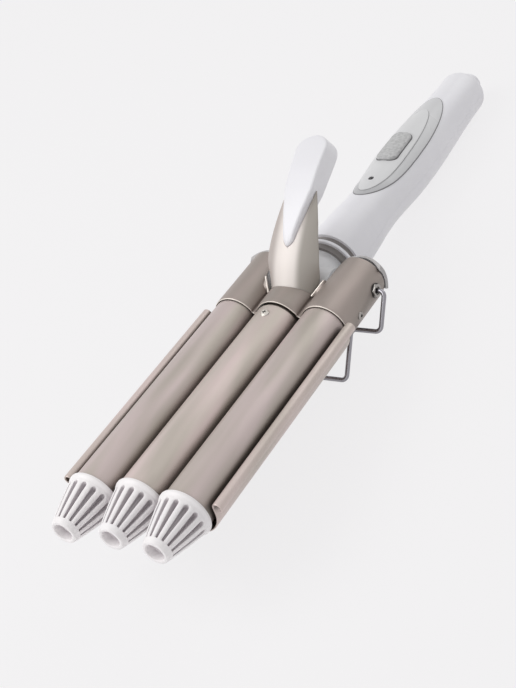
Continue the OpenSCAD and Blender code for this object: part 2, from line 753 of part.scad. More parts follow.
// Side view along the chord: a gently arched top over a belly that deepens to the end
module rest_side(inset = 0) {
    polygon(concat(
        [for (t = [0 : 0.05 : 1.01]) [rest_span * t, rest_top(t) - inset]],
        [[rest_span + 2, rest_top(1) - 0.4 - inset], [rest_span + 2, -rest_depth - inset * 5],
         [rest_span * 0.82, -rest_depth * 0.98 - inset * 5],
         [rest_span * 0.4, -rest_depth * 0.62 - inset * 5],
         [rest_span * 0.16, -rest_depth * 0.3 - inset], [0, -1.2 - inset]]
    ));
}
module rest_block(inset) {
    intersection() {
        translate([0, 0, -30]) linear_extrude(50) rotate(90) rest_plan(inset);
        rotate([90, 0, 90]) translate([0, 0, -rest_w]) linear_extrude(2 * rest_w)
            rest_side(inset);
    }
}
rest_boss_y = rest_span * 0.72;
module at_rest() translate([0, rest_base[0], rest_base[1]]) rotate([rest_chord, 0, 0])
    children();
module thumb_rest_body() {
    at_rest() {
        difference() {
            rest_block(0);
            rest_block(rest_wall);
        }
        difference() {
            translate([0, rest_boss_y, -rest_depth * 0.6])
                cylinder(r = 2.6, h = rest_depth * 0.6 + rest_top(0.75) - rest_wall + 0.5);
            translate([0, rest_boss_y, -rest_depth - 1]) cylinder(r = 1.2, h = rest_depth);
        }
    }
}
module thumb_rest() color("white") place() thumb_rest_body();

module rest_screw() color("silver") place() at_rest()
    translate([0, rest_boss_y, -rest_depth * 0.6]) rotate([180, 0, 0])
        cross_screw(2.4, 1.1, 1.15, 4);

// ------------------------------------------------------------------ stand

stand_x = eyelet_x + eyelet_head_t + 0.8 + wire_bend;
module stand_wire() color("dimgray") place() rotate([270 - stand_lean, 0, 0]) bent_wire([
        [eyelet_x - eyelet_len + 1.5, 0], [stand_x, 0], [stand_x, stand_step],
        [stand_foot_x, stand_step], [stand_foot_x, stand_len], [-stand_foot_x, stand_len],
        [-stand_foot_x, stand_step], [-stand_x, stand_step], [-stand_x, 0],
        [-eyelet_x + eyelet_len - 1.5, 0]
    ], wire_r, wire_bend);

// ----------------------------------------------------------------- handle

module handle_solid(shrink = 0) {
    turned_y(0, handle_z) polygon(concat(
        [[0, handle_front + (shrink > 0 ? -1 : 0)]],
        [for (p = handle_pts) [p.x - shrink, min(p.y, handle_rear - shrink)]],
        [[0, handle_rear - shrink]]
    ));
}
inlay_front = handle_front + 41;
inlay_mid = inlay_front + inlay_len * 0.47;
panel_front = inlay_front + 4;
panel_mid = inlay_mid - 6;
panel_rear = inlay_front + inlay_len - 15;
button_y = inlay_mid - 2.2;
pilot_y = inlay_front + 15.5;
// Pointed oval: superellipse quarters of length a ahead and b behind its widest place
function oval(mid, a, b, w, p) = [
    for (t = [0 : 6 : 354])
        let (c = cos(t), s = sin(t), h = c < 0 ? a : b)
        [w * sign(s) * pow(abs(s), 2 / p), mid + h * sign(c) * pow(abs(c), 2 / p)]
];
module inlay_plan(grow = 0)
    polygon(oval(inlay_mid, inlay_mid - inlay_front + grow,
        inlay_front + inlay_len - inlay_mid + grow, inlay_w / 2 + grow, 2.15));
module panel_plan(grow = 0)
    polygon(oval(panel_mid, panel_mid - panel_front + grow, panel_rear - panel_mid + grow,
        panel_w / 2 + grow, 2.1));
module column(z0, z1) translate([0, 0, z0]) linear_extrude(z1 - z0) children();

inlay_sink = 1.3;
module shell_solid() {
    difference() {
        handle_solid();
        handle_solid(handle_wall);
        // Seat of the swivel bush
        rod_y(swivel_seat_r, handle_rear - 8, handle_rear + 1, 0, handle_z);
        rod_y(swivel_seat_r + 2, handle_rear - handle_wall - 6, handle_rear - handle_wall + eps,
            0, handle_z);
    }
    // Wall behind the swivel bush and the bosses of the screws
    intersection() {
        handle_solid(0.5);
        difference() {
            rod_y(20, handle_rear - handle_wall - 9, handle_rear - handle_wall - 6.4, 0, handle_z);
            rod_y(sleeve_r + run_fit, handle_rear - 30, handle_rear, 0, handle_z);
        }
    }
}
boss_y = [handle_front + 22, handle_rear - 26];
boss_r = 3.4;
module bosses(z0, z1) {
    intersection() {
        handle_solid(0.5);
        for (y = boss_y) translate([0, y, handle_z + z0]) cylinder(r = boss_r, h = z1 - z0);
    }
}
module upper_shell() color("white") place() {
    difference() {
        shell_solid();
        column(-40, handle_z) square([80, 800], center = true);
        difference() {
            column(handle_z, 40) inlay_plan(push_fit);
            handle_solid(inlay_sink);
        }
        column(handle_z + 5, 40) offset(delta = 0.4) button_plan();
        translate([0, pilot_y, handle_z + 5]) cylinder(r = pilot_d / 2 + 0.4, h = 20);
    }
    difference() {
        bosses(0.05, 20);
        for (y = boss_y) translate([0, y, handle_z - 1]) cylinder(r = 1.15, h = 9);
    }
}
screw_head_z = -11;
module lower_shell() color("white") place() {
    difference() {
        union() {
            difference() {
                shell_solid();
                column(handle_z - 0.05, 40) square([80, 800], center = true);
            }
            bosses(-20, -0.1);
        }
        for (y = boss_y) {
            translate([0, y, handle_z - 30]) cylinder(r = 2.6, h = 30 + screw_head_z);
            translate([0, y, handle_z - 30]) cylinder(r = 1.45, h = 40);
        }
    }
}
module handle_screws() color("silver") place() for (y = boss_y)
    translate([0, y, handle_z + screw_head_z]) rotate([180, 0, 0])
        cross_screw(2.3, 1.3, 1.1, 15);

module spacer_rings() color([0.36, 0.35, 0.36]) place()
    for (y = [neck_rear, handle_front - ring_gap_w])
        tube_y(handle_front_r - 1.5, spigot_r + push_fit, y + 0.02, y + ring_gap_w - 0.02,
            0, handle_z);
module front_ring() color("whitesmoke") place() turned_y(0, handle_z) polygon([
    [spigot_r + push_fit, neck_rear + ring_gap_w],
    [handle_front_r - 0.9, neck_rear + ring_gap_w],
    [handle_front_r - 0.3, neck_rear + ring_gap_w + 0.4],
    [handle_front_r - 0.1, handle_front - ring_gap_w - 0.5],
    [handle_front_r - 0.6, handle_front - ring_gap_w],
    [spigot_r + push_fit, handle_front - ring_gap_w]
]);

// --------------------------------------------------------------- controls

module button_plan() {
    r = button_w * 0.34;
    translate([0, button_y]) hull() for (sx = [-1, 1]) for (sy = [-1, 1])
        translate([sx * (button_w / 2 - r), sy * (button_len / 2 - r)]) circle(r = r, $fn = 32);
}
panel_top = 0.7;
module control_bezel() color([0.72, 0.72, 0.73]) place() difference() {
    intersection() {
        handle_solid(-0.35);
        column(handle_z, 40) inlay_plan();
    }
    handle_solid(inlay_sink - push_fit);
    column(handle_z, 40) panel_plan(push_fit);
}
module control_panel() color([0.83, 0.83, 0.84]) place() difference() {
    intersection() {
        handle_solid(-panel_top);
        column(handle_z, 40) panel_plan();
    }
    handle_solid(inlay_sink - push_fit);
    column(handle_z, 40) offset(delta = 0.35) button_plan();
    translate([0, pilot_y, 0]) cylinder(r = pilot_d / 2 + push_fit, h = 40);
}
panel_r = handle_r(button_y - handle_front);
button_top = handle_z + panel_r + panel_top + 1.5;
board_top = board_z + 1.6;
switch_top = board_top + 5;
module power_button() color([0.62, 0.62, 0.63]) place() {
    intersection() {
        column(button_top - 5.5, button_top) button_plan();
        translate([0, 0, handle_z]) rotate([-90, 0, 0]) cylinder(r = panel_r + 2.2, h = 400);
    }
    translate([0, button_y, switch_top + button_travel + 0.1])
        cylinder(r = 2.5, h = button_top - 5 - switch_top - button_travel);
}
pilot_r = handle_r(pilot_y - handle_front);
module pilot_lens() color([0.25, 0.25, 0.27]) place() translate([0, pilot_y, 0])
    translate([0, 0, handle_z + pilot_r - 4]) {
        cylinder(r = pilot_d / 2, h = 4 + panel_top - 0.3);
        translate([0, 0, 4 + panel_top - 0.3 - eps]) cylinder(r1 = pilot_d / 2, r2 = 1, h = 0.5);
    }
module pilot_led() color("tomato") place() translate([0, pilot_y, board_top])
    cylinder(r = 1.4, h = handle_z + pilot_r - 4.1 - board_top);
board_w = 17;
board_len = 78;
module circuit_board() color("darkgreen") place()
    box(-board_w / 2, board_w / 2, board_y0, board_y0 + board_len, board_z, board_top);
module tact_switch() color("dimgray") place() {
    box(-3, 3, button_y - 3, button_y + 3, board_top, board_top + 3.6);
    translate([0, button_y, board_top + 3.5]) cylinder(r = 1.7, h = switch_top - board_top - 3.5);
}
module cord_terminal() color("darkslategray") place()
    box(-6, 6, board_y0 + board_len - 14, board_y0 + board_len - 2, board_z - 8, board_z);

// ------------------------------------------------------------- cord inlet

swivel_seat_r = swivel_d / 2 + run_fit;
sleeve_r = cord_hole_d / 2 + 1.5;
sleeve_len = 21;
module cord_swivel() color([0.9, 0.9, 0.9]) place() difference() {
    turned_y(0, handle_z) polygon([
        [0, handle_rear - sleeve_len], [sleeve_r, handle_rear - sleeve_len],
        [sleeve_r, handle_rear - handle_wall - 5.6],
        [swivel_d / 2 + 1.6, handle_rear - handle_wall - 5.6],
        [swivel_d / 2 + 1.6, handle_rear - handle_wall - 0.4],
        [swivel_d / 2, handle_rear - handle_wall - 0.4],
        [swivel_d / 2, handle_rear + swivel_out], [0, handle_rear + swivel_out]
    ]);
    rod_y(cord_hole_d / 2, handle_rear - 40, handle_rear + swivel_out + 1, 0, handle_z);
}
module slip_rings() color("gold") place() for (k = [0, 1])
    tube_y(sleeve_r + 1.6, sleeve_r + 0.02, handle_rear - sleeve_len + 1 + 4 * k,
        handle_rear - sleeve_len + 3 + 4 * k, 0, handle_z);

yoke();
yoke_cover();
spacer_rings();
front_ring();
wave_plate();
centre_barrel();
centre_tip();
centre_heater();
centre_heater_clip();
thermostat();
centre_leads();
plate_screw();
left_eyelet();
right_eyelet();
spring_pin();
return_spring();
upper_shell();
lower_shell();
handle_screws();
control_bezel();
control_panel();
pilot_lens();
pilot_led();
circuit_board();
tact_switch();
cord_terminal();
clamp_bracket();
thumb_lever();
thumb_rest();
rest_screw();
left_barrel();
right_barrel();
left_tip();
right_tip();
left_base();
right_base();
left_heater();
right_heater();
left_heater_clip();
right_heater_clip();
collar_screws();
stand_wire();
power_button();
cord_swivel();
slip_rings();
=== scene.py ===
# %% [markdown]
# # A three-barrel hair waver, dressed for its picture
# This file takes the finished CAD model of a wave styling iron as a fixed frame and
# gives it its looks. The measures and the joints come from the CAD model; Blender adds
# rounded sheet edges, ribs, seams and the finishes of metal and plastic. Each step is
# first told in words and then done in a short cell.

# %% Load the frame
import json
import math
import bmesh
import bpy
import numpy as np
from mathutils import Matrix, Vector


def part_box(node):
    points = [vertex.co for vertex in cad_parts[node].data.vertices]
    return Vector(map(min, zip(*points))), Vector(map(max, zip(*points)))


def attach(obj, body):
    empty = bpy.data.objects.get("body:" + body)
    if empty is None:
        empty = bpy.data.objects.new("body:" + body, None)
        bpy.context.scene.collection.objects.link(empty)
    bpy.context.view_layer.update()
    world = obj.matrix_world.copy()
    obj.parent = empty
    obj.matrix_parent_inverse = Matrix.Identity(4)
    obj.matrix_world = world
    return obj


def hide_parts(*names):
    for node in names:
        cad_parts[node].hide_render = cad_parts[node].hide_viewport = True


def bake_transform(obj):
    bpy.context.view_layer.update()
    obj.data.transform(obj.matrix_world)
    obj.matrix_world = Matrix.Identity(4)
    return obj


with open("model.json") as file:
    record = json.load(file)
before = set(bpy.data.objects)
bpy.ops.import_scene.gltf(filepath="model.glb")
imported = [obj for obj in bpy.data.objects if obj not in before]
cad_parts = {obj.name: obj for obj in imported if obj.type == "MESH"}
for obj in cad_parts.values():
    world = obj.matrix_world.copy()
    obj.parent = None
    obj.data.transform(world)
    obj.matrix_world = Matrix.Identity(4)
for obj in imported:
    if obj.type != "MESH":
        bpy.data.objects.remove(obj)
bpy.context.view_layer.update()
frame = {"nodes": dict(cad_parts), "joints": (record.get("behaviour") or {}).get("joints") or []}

# %% [markdown]
# ## Two frames
# The tool rests on its wire stand, so its barrels dip a few degrees. It is easier to think
# of the tool as drawn on the bench: origin on the hinge axis, barrels along -Y, handle
# along +Y, millimetres. One function carries bench points into the frame of the table.
# It finds the hinge and the tilt in the CAD model's own joints, so it always agrees.

# %% From the bench to the table
joints = {j["name"]: j for j in frame["joints"]}
hinge = np.array(joints["clamp_hinge"]["pos_m"], float)
along = np.array(joints["cord_swivel_turn"]["axis"], float)
along /= np.linalg.norm(along)
upright = np.cross([1.0, 0.0, 0.0], along)
tool_axes = np.stack([[1.0, 0.0, 0.0], along, upright])


def to_table(points_mm):
    """Bench point (x, y, z) in mm: hinge + x across + y along the tool + z square to it."""
    return hinge + np.asarray(points_mm, float) / 1000.0 @ tool_axes


print("tilt of the tool:", round(math.degrees(math.asin(-along[2])), 2), "degrees")

# %% [markdown]
# ## The camera
# The photo looks down on the barrels from the right and the tips' end, with the camera
# rolled so that the tool lies along the picture's diagonal. The angles were found by
# matching points of the object, such as the noses and the collars, to their pixels.

# %% Camera
PHOTO_H = 688  # pixels; the photo is 516 wide
SENSOR_MM = 36.0
VIEW_AZIMUTH, VIEW_HEIGHT, VIEW_ROLL = 45.06, 34.93, -22.26
VIEW_DISTANCE = 702.14
FOCAL_PX = 1424.44
CENTRE_OFF_X, CENTRE_OFF_Y = -31.55, 47.01
LOOK_AT = np.array([0.0, -86.8, 0.0])


def view_axes(azimuth, height, roll):
    """Right, up and back vectors of a camera that looks along -back, turned by roll."""
    a, e, s = map(math.radians, (azimuth, height, roll))
    back = np.array([math.sin(a) * math.cos(e), -math.cos(a) * math.cos(e), math.sin(e)])
    right = np.array([math.cos(a), math.sin(a), 0.0])
    up = np.cross(back, right)
    return (right * math.cos(s) + up * math.sin(s),
            up * math.cos(s) - right * math.sin(s), back)


right, up, back = view_axes(VIEW_AZIMUTH, VIEW_HEIGHT, VIEW_ROLL)
eye = to_table(LOOK_AT + back * VIEW_DISTANCE)
turn = np.stack([right @ tool_axes, up @ tool_axes, back @ tool_axes], axis=1)
camera_data = bpy.data.cameras.new("camera")
camera = bpy.data.objects.new("camera", camera_data)
bpy.context.scene.collection.objects.link(camera)
camera.matrix_world = Matrix.Translation(Vector(eye)) @ Matrix(turn.tolist()).to_4x4()
camera_data.sensor_fit = "VERTICAL"
camera_data.sensor_height = SENSOR_MM
camera_data.lens = FOCAL_PX * SENSOR_MM / PHOTO_H
camera_data.shift_x = -CENTRE_OFF_X / PHOTO_H
camera_data.shift_y = CENTRE_OFF_Y / PHOTO_H
camera_data.clip_start = 0.01
bpy.context.scene.camera = camera
print("camera at", np.round(eye, 3), "lens", round(camera_data.lens, 1), "mm")

# %% [markdown]
# ## Helpers for finishes
# Colours are written as the hex values a picture editor shows and turned to linear light
# by one function. Another small function adds a shader node with its settings and links.

# %% Colours and shader nodes
HEMMED_FROM, HEMMED_FULL = 0.85, 0.3  # open share of the sky where shade starts, is full


def linear(hex_colour):
    """sRGB hex to linear RGBA: each channel c becomes ((c + 0.055) / 1.055) ^ 2.4."""
    c = np.array([int(hex_colour[i:i + 2], 16) / 255 for i in (1, 3, 5)])
    c = np.where(c <= 0.04045, c / 12.92, ((c + 0.055) / 1.055) ** 2.4)
    return (*c.tolist(), 1.0)


def add(tree, kind, values=None, links=None, **settings):
    """Adds a node: settings are its attributes, values its sockets, links what feeds it."""
    node = tree.nodes.new(kind)
    for name, value in settings.items():
        setattr(node, name, value)
    for name, value in (values or {}).items():
        node.inputs[name].default_value = value
    for name, source in (links or {}).items():
        tree.links.new(source, node.inputs[name])
    return node


def new_material(name):
    """The empty node tree of a new material, and its output node."""
    material = bpy.data.materials.new(name)
    material.use_nodes = True
    material.node_tree.nodes.clear()
    print("finish:", name)
    return material.node_tree, add(material.node_tree, "ShaderNodeOutputMaterial")


def finish_with(tree, output, shader):
    """Joins the shader to the material's output."""
    tree.links.new(shader.outputs[0], output.inputs["Surface"])


def paint_shade_when_hemmed(tree, colour, crevice_shade, reach):
    """Painted shade: mixes a colour towards a darker one where less than HEMMED_FROM of the sky
    within reach (in metres) is open, so that grooves and gaps look shaded."""
    hemmed = add(tree, "ShaderNodeAmbientOcclusion", {"Distance": reach}, samples=6)
    open_share = add(tree, "ShaderNodeMapRange",
                     {"From Min": HEMMED_FULL, "From Max": HEMMED_FROM},
                     {"Value": hemmed.outputs["AO"]}, interpolation_type="SMOOTHSTEP")
    return add(tree, "ShaderNodeMix", {6: linear(crevice_shade)},
               {0: open_share.outputs[0], 7: colour}, data_type="RGBA").outputs[2]


# %% [markdown]
# ## Champagne coating
# The barrels, the wave plate and the collars are aluminium under a baked ceramic coating
# of a warm grey champagne. It has a satin sheen: highlights are broad and soft, and the
# tone wanders a little between pinkish and olive along the barrels. Fine lines from the
# drawn tube run lengthwise.

# %% Champagne coating
LINE_MM = 0.35  # spacing of the drawing lines, coarser than real so that they show
LINE_HEIGHT = 0.00004  # metres
BAND_SCALE = 110.0  # the two tones change about every 9 mm
LINE_SQUEEZE, BAND_SQUEEZE = 0.02, 0.12  # both patterns are long and thin along Y
# Painted shade: within this reach the coating is darkened towards its shade tone
GROOVE_SHADE_REACH = 0.007  # how near a neighbour must be, in metres, to dull the coating


def coated(name, light, dark, groove_shade, roughness, metallic):
    """Satin coating: wide lengthwise bands between two tones, with painted shade where the
    surface is hemmed in by its neighbours."""
    tree, output = new_material(name)
    place = add(tree, "ShaderNodeTexCoord")
    stretch = add(tree, "ShaderNodeMapping", {"Scale": (1.0, LINE_SQUEEZE, 1.0)},
                  {"Vector": place.outputs["Object"]})
    lines = add(tree, "ShaderNodeTexNoise", {"Scale": 1000 / LINE_MM / 2, "Detail": 3.0},
                {"Vector": stretch.outputs[0]})
    wander = add(tree, "ShaderNodeMapping", {"Scale": (1.0, BAND_SQUEEZE, 1.0)},
                 {"Vector": place.outputs["Object"]})
    bands = add(tree, "ShaderNodeTexNoise", {"Scale": BAND_SCALE, "Detail": 1.5},
                {"Vector": wander.outputs[0]})
    share = add(tree, "ShaderNodeMapRange", {"From Min": 0.35, "From Max": 0.65},
                {"Value": bands.outputs["Fac"]})
    tone = add(tree, "ShaderNodeMix", {6: linear(light), 7: linear(dark)},
               {0: share.outputs[0]}, data_type="RGBA")
    shaded = paint_shade_when_hemmed(tree, tone.outputs[2], groove_shade, GROOVE_SHADE_REACH)
    rough = add(tree, "ShaderNodeMapRange",
                {"To Min": roughness - 0.03, "To Max": roughness + 0.04},
                {"Value": lines.outputs["Fac"]})
    relief = add(tree, "ShaderNodeBump", {"Strength": 0.05, "Distance": LINE_HEIGHT},
                 {"Height": lines.outputs["Fac"]})
    skin = add(tree, "ShaderNodeBsdfPrincipled", {"Metallic": metallic},
               {"Base Color": shaded, "Roughness": rough.outputs[0],
                "Normal": relief.outputs[0]})
    finish_with(tree, output, skin)


# The last colour of each coating is its painted shade in grooves and gaps
coated("champagne_coating", "#C6B8B5", "#B2AAA1", "#5E544E", 0.42, 0.50)
# A lighter copy of the same coating: painted highlight on the ridge, which faces the light
coated("ridge_highlight_coating", "#D5C5C1", "#BEB5AC", "#5E544E", 0.42, 0.50)
coated("collar_coating", "#A79B95", "#9A918A", "#7F756F", 0.45, 0.50)

# %% [markdown]
# ## Bright satin lever
# The lever is aluminium with a lighter and more silvery coating than the barrels. It is
# matt enough to spread the light into one long, broad highlight down its middle. Its colour
# is painted light in the middle and deeper towards both edges, most to the right: painted
# highlight and painted shade across the bowed sheet.

# %% Satin lever metal
# Painted shade: from these places on X the lever's colour deepens towards its edges
LEFT_SHADE_STEP, RIGHT_SHADE_STEP = (-0.005, -0.011), (0.0045, 0.0085)  # where a tone starts, is full


def satin_metal(name, light, left, right, roughness, metallic):
    """Painted highlight and shade: three tones across X, light in the middle, soft steps
    between.
    """
    tree, output = new_material(name)
    place = add(tree, "ShaderNodeTexCoord")
    split = add(tree, "ShaderNodeSeparateXYZ", links={0: place.outputs["Object"]})
    tone = add(tree, "ShaderNodeRGB")
    tone.outputs[0].default_value = linear(light)
    tone = tone.outputs[0]
    for (start, stop), deep in ((LEFT_SHADE_STEP, left), (RIGHT_SHADE_STEP, right)):
        aside = add(tree, "ShaderNodeMapRange", {"From Min": start, "From Max": stop},
                    {"Value": split.outputs["X"]}, interpolation_type="SMOOTHSTEP")
        tone = add(tree, "ShaderNodeMix", {7: linear(deep)},
                   {0: aside.outputs[0], 6: tone}, data_type="RGBA").outputs[2]
    cloud = add(tree, "ShaderNodeTexNoise", {"Scale": 60.0, "Detail": 1.0},
                {"Vector": place.outputs["Object"]})
    rough = add(tree, "ShaderNodeMapRange",
                {"To Min": roughness - 0.02, "To Max": roughness + 0.02},
                {"Value": cloud.outputs["Fac"]})
    skin = add(tree, "ShaderNodeBsdfPrincipled", {"Metallic": metallic},
               {"Base Color": tone, "Roughness": rough.outputs[0]})
    finish_with(tree, output, skin)


satin_metal("satin_champagne", "#E3DCD7", "#BBB2AD", "#A7A19A", 0.58, 0.26)

# %% [markdown]
# ## Bare metals
# The stand is plated steel wire, bright with dark reflections. The ridge's screw is nickel
# plated, and the eyelets and side screws are a duller steel. Where the coating wore off an
# edge, bare aluminium shines. Each metal has faint scratches in its roughness, and painted
# shade where a neighbour nearly touches it.

# %% Plated steels
SEAT_SHADE_REACH, SEAT_SHADE = 0.002, "#1E1C1B"


def plated(name, colour, roughness):
    """Metal of one colour with painted shade at its seat, and scratches about 1 mm apart."""
    tree, output = new_material(name)
    place = add(tree, "ShaderNodeTexCoord")
    scuffs = add(tree, "ShaderNodeTexNoise", {"Scale": 900.0, "Detail": 4.0},
                 {"Vector": place.outputs["Object"]})
    rough = add(tree, "ShaderNodeMapRange",
                {"To Min": roughness - 0.05, "To Max": roughness + 0.08},
                {"Value": scuffs.outputs["Fac"]})
    base = add(tree, "ShaderNodeRGB")
    base.outputs[0].default_value = linear(colour)
    skin = add(tree, "ShaderNodeBsdfPrincipled", {"Metallic": 1.0},
               {"Base Color": paint_shade_when_hemmed(tree, base.outputs[0], SEAT_SHADE,
                                               SEAT_SHADE_REACH),
                "Roughness": rough.outputs[0]})
    finish_with(tree, output, skin)


for name, colour, roughness in (
        ("zinc_plated_wire", "#98969B", 0.24),  # smoothest, mirrors the floor and the dark
        ("nickel_plate", "#DDD8D0", 0.30),  # bright with a touch of yellow
        ("dull_steel", "#A5A19D", 0.30),  # the same gloss but greyer
        ("spring_steel", "#6A6865", 0.35),  # dark from tempering in oil
        ("yellow_brass", "#C9A85C", 0.30),  # a warm turned gleam
        ("worn_edge", "#EBE3DB", 0.45)):  # bare aluminium, matt from tumbling
    plated(name, colour, roughness)

# %% [markdown]
# ## Moulded plastics
# The handle is glossy white ABS, the tips are a heat-proof white nylon with a duller skin,
# and the inlay and the button are light grey ABS, the button with a coarse texture. A
# moulded skin is never quite flat, so each has a very low orange-peel relief and a slight
# change in gloss. The rubber and the ceramic inside are made the same way.

# %% Moulded plastics
SLOT_SHADE_REACH = 0.006
PEEL_HEIGHT = 0.00005  # metres


def moulded(name, colour, shade, roughness, peel_mm=1.2, peel=0.10, cloud_mm=33,
            crevice_shade=None, aside=None):
    """Moulded skin, with painted shade in the slots if a shade tone is given. If given, aside
    is a second tone with the axis along which it takes over and where that starts and is
    full, in metres."""
    tree, output = new_material(name)
    place = add(tree, "ShaderNodeTexCoord")
    skin_relief = add(tree, "ShaderNodeTexNoise", {"Scale": 1000 / peel_mm, "Detail": 2.0},
                      {"Vector": place.outputs["Object"]})
    cloud = add(tree, "ShaderNodeTexNoise", {"Scale": 1000 / cloud_mm, "Detail": 1.0},
                {"Vector": place.outputs["Object"]})
    tone = add(tree, "ShaderNodeMix", {6: linear(colour), 7: linear(shade)},
               {0: cloud.outputs["Fac"]}, data_type="RGBA")
    rough = add(tree, "ShaderNodeMapRange",
                {"To Min": roughness - 0.03, "To Max": roughness + 0.03},
                {"Value": cloud.outputs["Fac"]})
    relief = add(tree, "ShaderNodeBump", {"Strength": peel, "Distance": PEEL_HEIGHT},
                 {"Height": skin_relief.outputs["Fac"]})
    base = tone.outputs[2]
    if aside:
        second, axis, start, full = aside
        split = add(tree, "ShaderNodeSeparateXYZ", links={0: place.outputs["Object"]})
        off = add(tree, "ShaderNodeMath", links={0: split.outputs[axis]},
                  operation="ABSOLUTE")
        far = add(tree, "ShaderNodeMapRange", {"From Min": start, "From Max": full},
                  {"Value": off.outputs[0]})
        base = add(tree, "ShaderNodeMix", {7: linear(second)},
                   {0: far.outputs[0], 6: base}, data_type="RGBA").outputs[2]
    if crevice_shade:
        base = paint_shade_when_hemmed(tree, base, crevice_shade, SLOT_SHADE_REACH)
    skin = add(tree, "ShaderNodeBsdfPrincipled", {"IOR": 1.5},
               {"Base Color": base, "Roughness": rough.outputs[0],
                "Normal": relief.outputs[0]})
    finish_with(tree, output, skin)


inlay_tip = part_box("control_bezel")[0][1]  # where the inlay's point lies along Y
for name, colour, shade, roughness, more in (
        # The shell's clean white, glossy enough for one soft highlight
        ("white_abs", "#EFEEF1", "#EAE9EE", 0.30, {}),
        # A duller white, with painted shade that turns it grey in the slots
        ("tip_nylon", "#F6F2F2", "#F1EEEF", 0.45, {"peel": 0.15, "crevice_shade": "#CFC9CC"}),
        # The outer ends of the neck are greyer: painted shade where the collars close over them
        ("pale_neck", "#EDEDEE", "#E8E8EA", 0.45,
         {"aside": ("#B4B1B0", "X", 0.024, 0.032)}),
        ("silver_panel", "#DDDDDE", "#D7D7D8", 0.35, {}),
        # The pointed end is darker
        ("silver_bezel", "#D6D6D7", "#CDCDCF", 0.28,
         {"aside": ("#B7B7B9", "Y", inlay_tip + 0.020, inlay_tip + 0.009)}),
        # Partly the spacers' own grey and partly painted shade of the grooves at the handle's
        # front
        ("groove_grey", "#8B8684", "#837E7B", 0.50, {}),
        # Mottled every 1.7 mm
        ("button_grey", "#DADADA", "#9C9C9C", 0.60,
         {"peel_mm": 0.5, "peel": 0.9, "cloud_mm": 1.7}),
        # Dark and nearly as smooth as glass
        ("smoked_lens", "#2A292C", "#222125", 0.12, {"peel": 0.02}),
        # The shade gathered in joints: fine, finer and dark
        ("seam_grey", "#807F81", "#7A797B", 0.55, {}),
        ("soft_seam", "#ABABAC", "#A5A5A6", 0.55, {}),
        ("dark_joint", "#5E5D5F", "#585759", 0.55, {}),
        # Hidden parts: lamp, switch, board, silicone leads, fired ceramic, heat-proof plug
        ("red_led", "#C9473B", "#B83C32", 0.20, {}),
        # Black plastic of the switch, which also paints the shade ring under each eyelet head
        ("black_pbt_and_shade", "#2B2B2D", "#252527", 0.50, {}),
        ("board_green", "#20603A", "#1C5633", 0.40, {}),
        ("lead_silicone", "#A63A30", "#96332A", 0.45, {}),
        ("alumina", "#E9E2D2", "#E1D9C7", 0.60, {}),
        ("heat_plastic", "#CBB48B", "#C2AA80", 0.55, {})):
    moulded(name, colour, shade, roughness, **more)

# %% [markdown]
# ## Which finish goes where
# Every CAD node gets a finish, also the hidden ones.

# %% Dress the CAD nodes
FINISHES = {
    "champagne_coating": ["left_barrel", "right_barrel"],
    "ridge_highlight_coating": ["wave_plate", "centre_barrel"],
    "collar_coating": ["clamp_bracket"],
    "satin_champagne": ["thumb_lever"],
    "zinc_plated_wire": ["stand_wire"],
    "dull_steel": ["left_eyelet", "right_eyelet", "collar_screws"],
    "nickel_plate": ["plate_screw", "spring_pin", "handle_screws", "rest_screw",
                     "centre_heater_clip", "left_heater_clip", "right_heater_clip"],
    "spring_steel": ["return_spring"],
    "yellow_brass": ["slip_rings"],
    "white_abs": ["upper_shell", "lower_shell", "front_ring", "thumb_rest", "cord_swivel"],
    "pale_neck": ["yoke_cover", "yoke"],
    "tip_nylon": ["left_tip", "right_tip", "centre_tip"],
    "silver_panel": ["control_panel"],
    "silver_bezel": ["control_bezel"],
    "groove_grey": ["spacer_rings"],
    "button_grey": ["power_button"],
    "smoked_lens": ["pilot_lens"],
    "red_led": ["pilot_led"],
    "black_pbt_and_shade": ["thermostat", "tact_switch", "cord_terminal"],
    "board_green": ["circuit_board"],
    "lead_silicone": ["centre_leads"],
    "alumina": ["centre_heater", "left_heater", "right_heater"],
    "heat_plastic": ["left_base", "right_base"],
}
for finish, names in FINISHES.items():
    for name in names:
        piece = frame["nodes"][name]
        piece.data.materials.clear()
        piece.data.materials.append(bpy.data.materials[finish])
bare = set(frame["nodes"]) - {n for names in FINISHES.values() for n in names}
print("nodes without a finish:", sorted(bare))

# %% [markdown]
# ## Surfaces from grids
# Every new piece is a grid of points worked out with numpy and joined by four-sided
# faces. A grid can close on itself in either direction, and a row that is a single point
# repeated makes a pole, whose doubled points are merged afterwards.

# %% Grids to meshes


def grid_faces(rows, cols, wrap_rows=False, wrap_cols=False, flip=False):
    """Quads of a rows x cols grid: (i, j), (i, j+1), (i+1, j+1), (i+1, j), wrapped by
    taking the index modulo the count."""
    i = np.arange(rows if wrap_rows else rows - 1)[:, None]
    j = np.arange(cols if wrap_cols else cols - 1)[None, :]
    i1, j1 = (i + 1) % rows, (j + 1) % cols
    quads = np.stack([i * cols + j + 0 * i1, i * cols + j1, i1 * cols + j1, i1 * cols + j],
                     axis=-1).reshape(-1, 4)
    return quads[:, ::-1] if flip else quads


def full_turn(count):
    """Angles of that many even steps round a circle."""
    return np.linspace(0, 2 * np.pi, count, endpoint=False)


def join(parts):
    """Stacks (points, faces) pairs, each face index raised by the points before it."""
    points, faces, start = [], [], 0
    for p, f in parts:
        p = np.asarray(p, float).reshape(-1, 3)
        points.append(p)
        faces.append(np.asarray(f) + start)
        start += len(p)
    return np.concatenate(points), np.concatenate(faces)


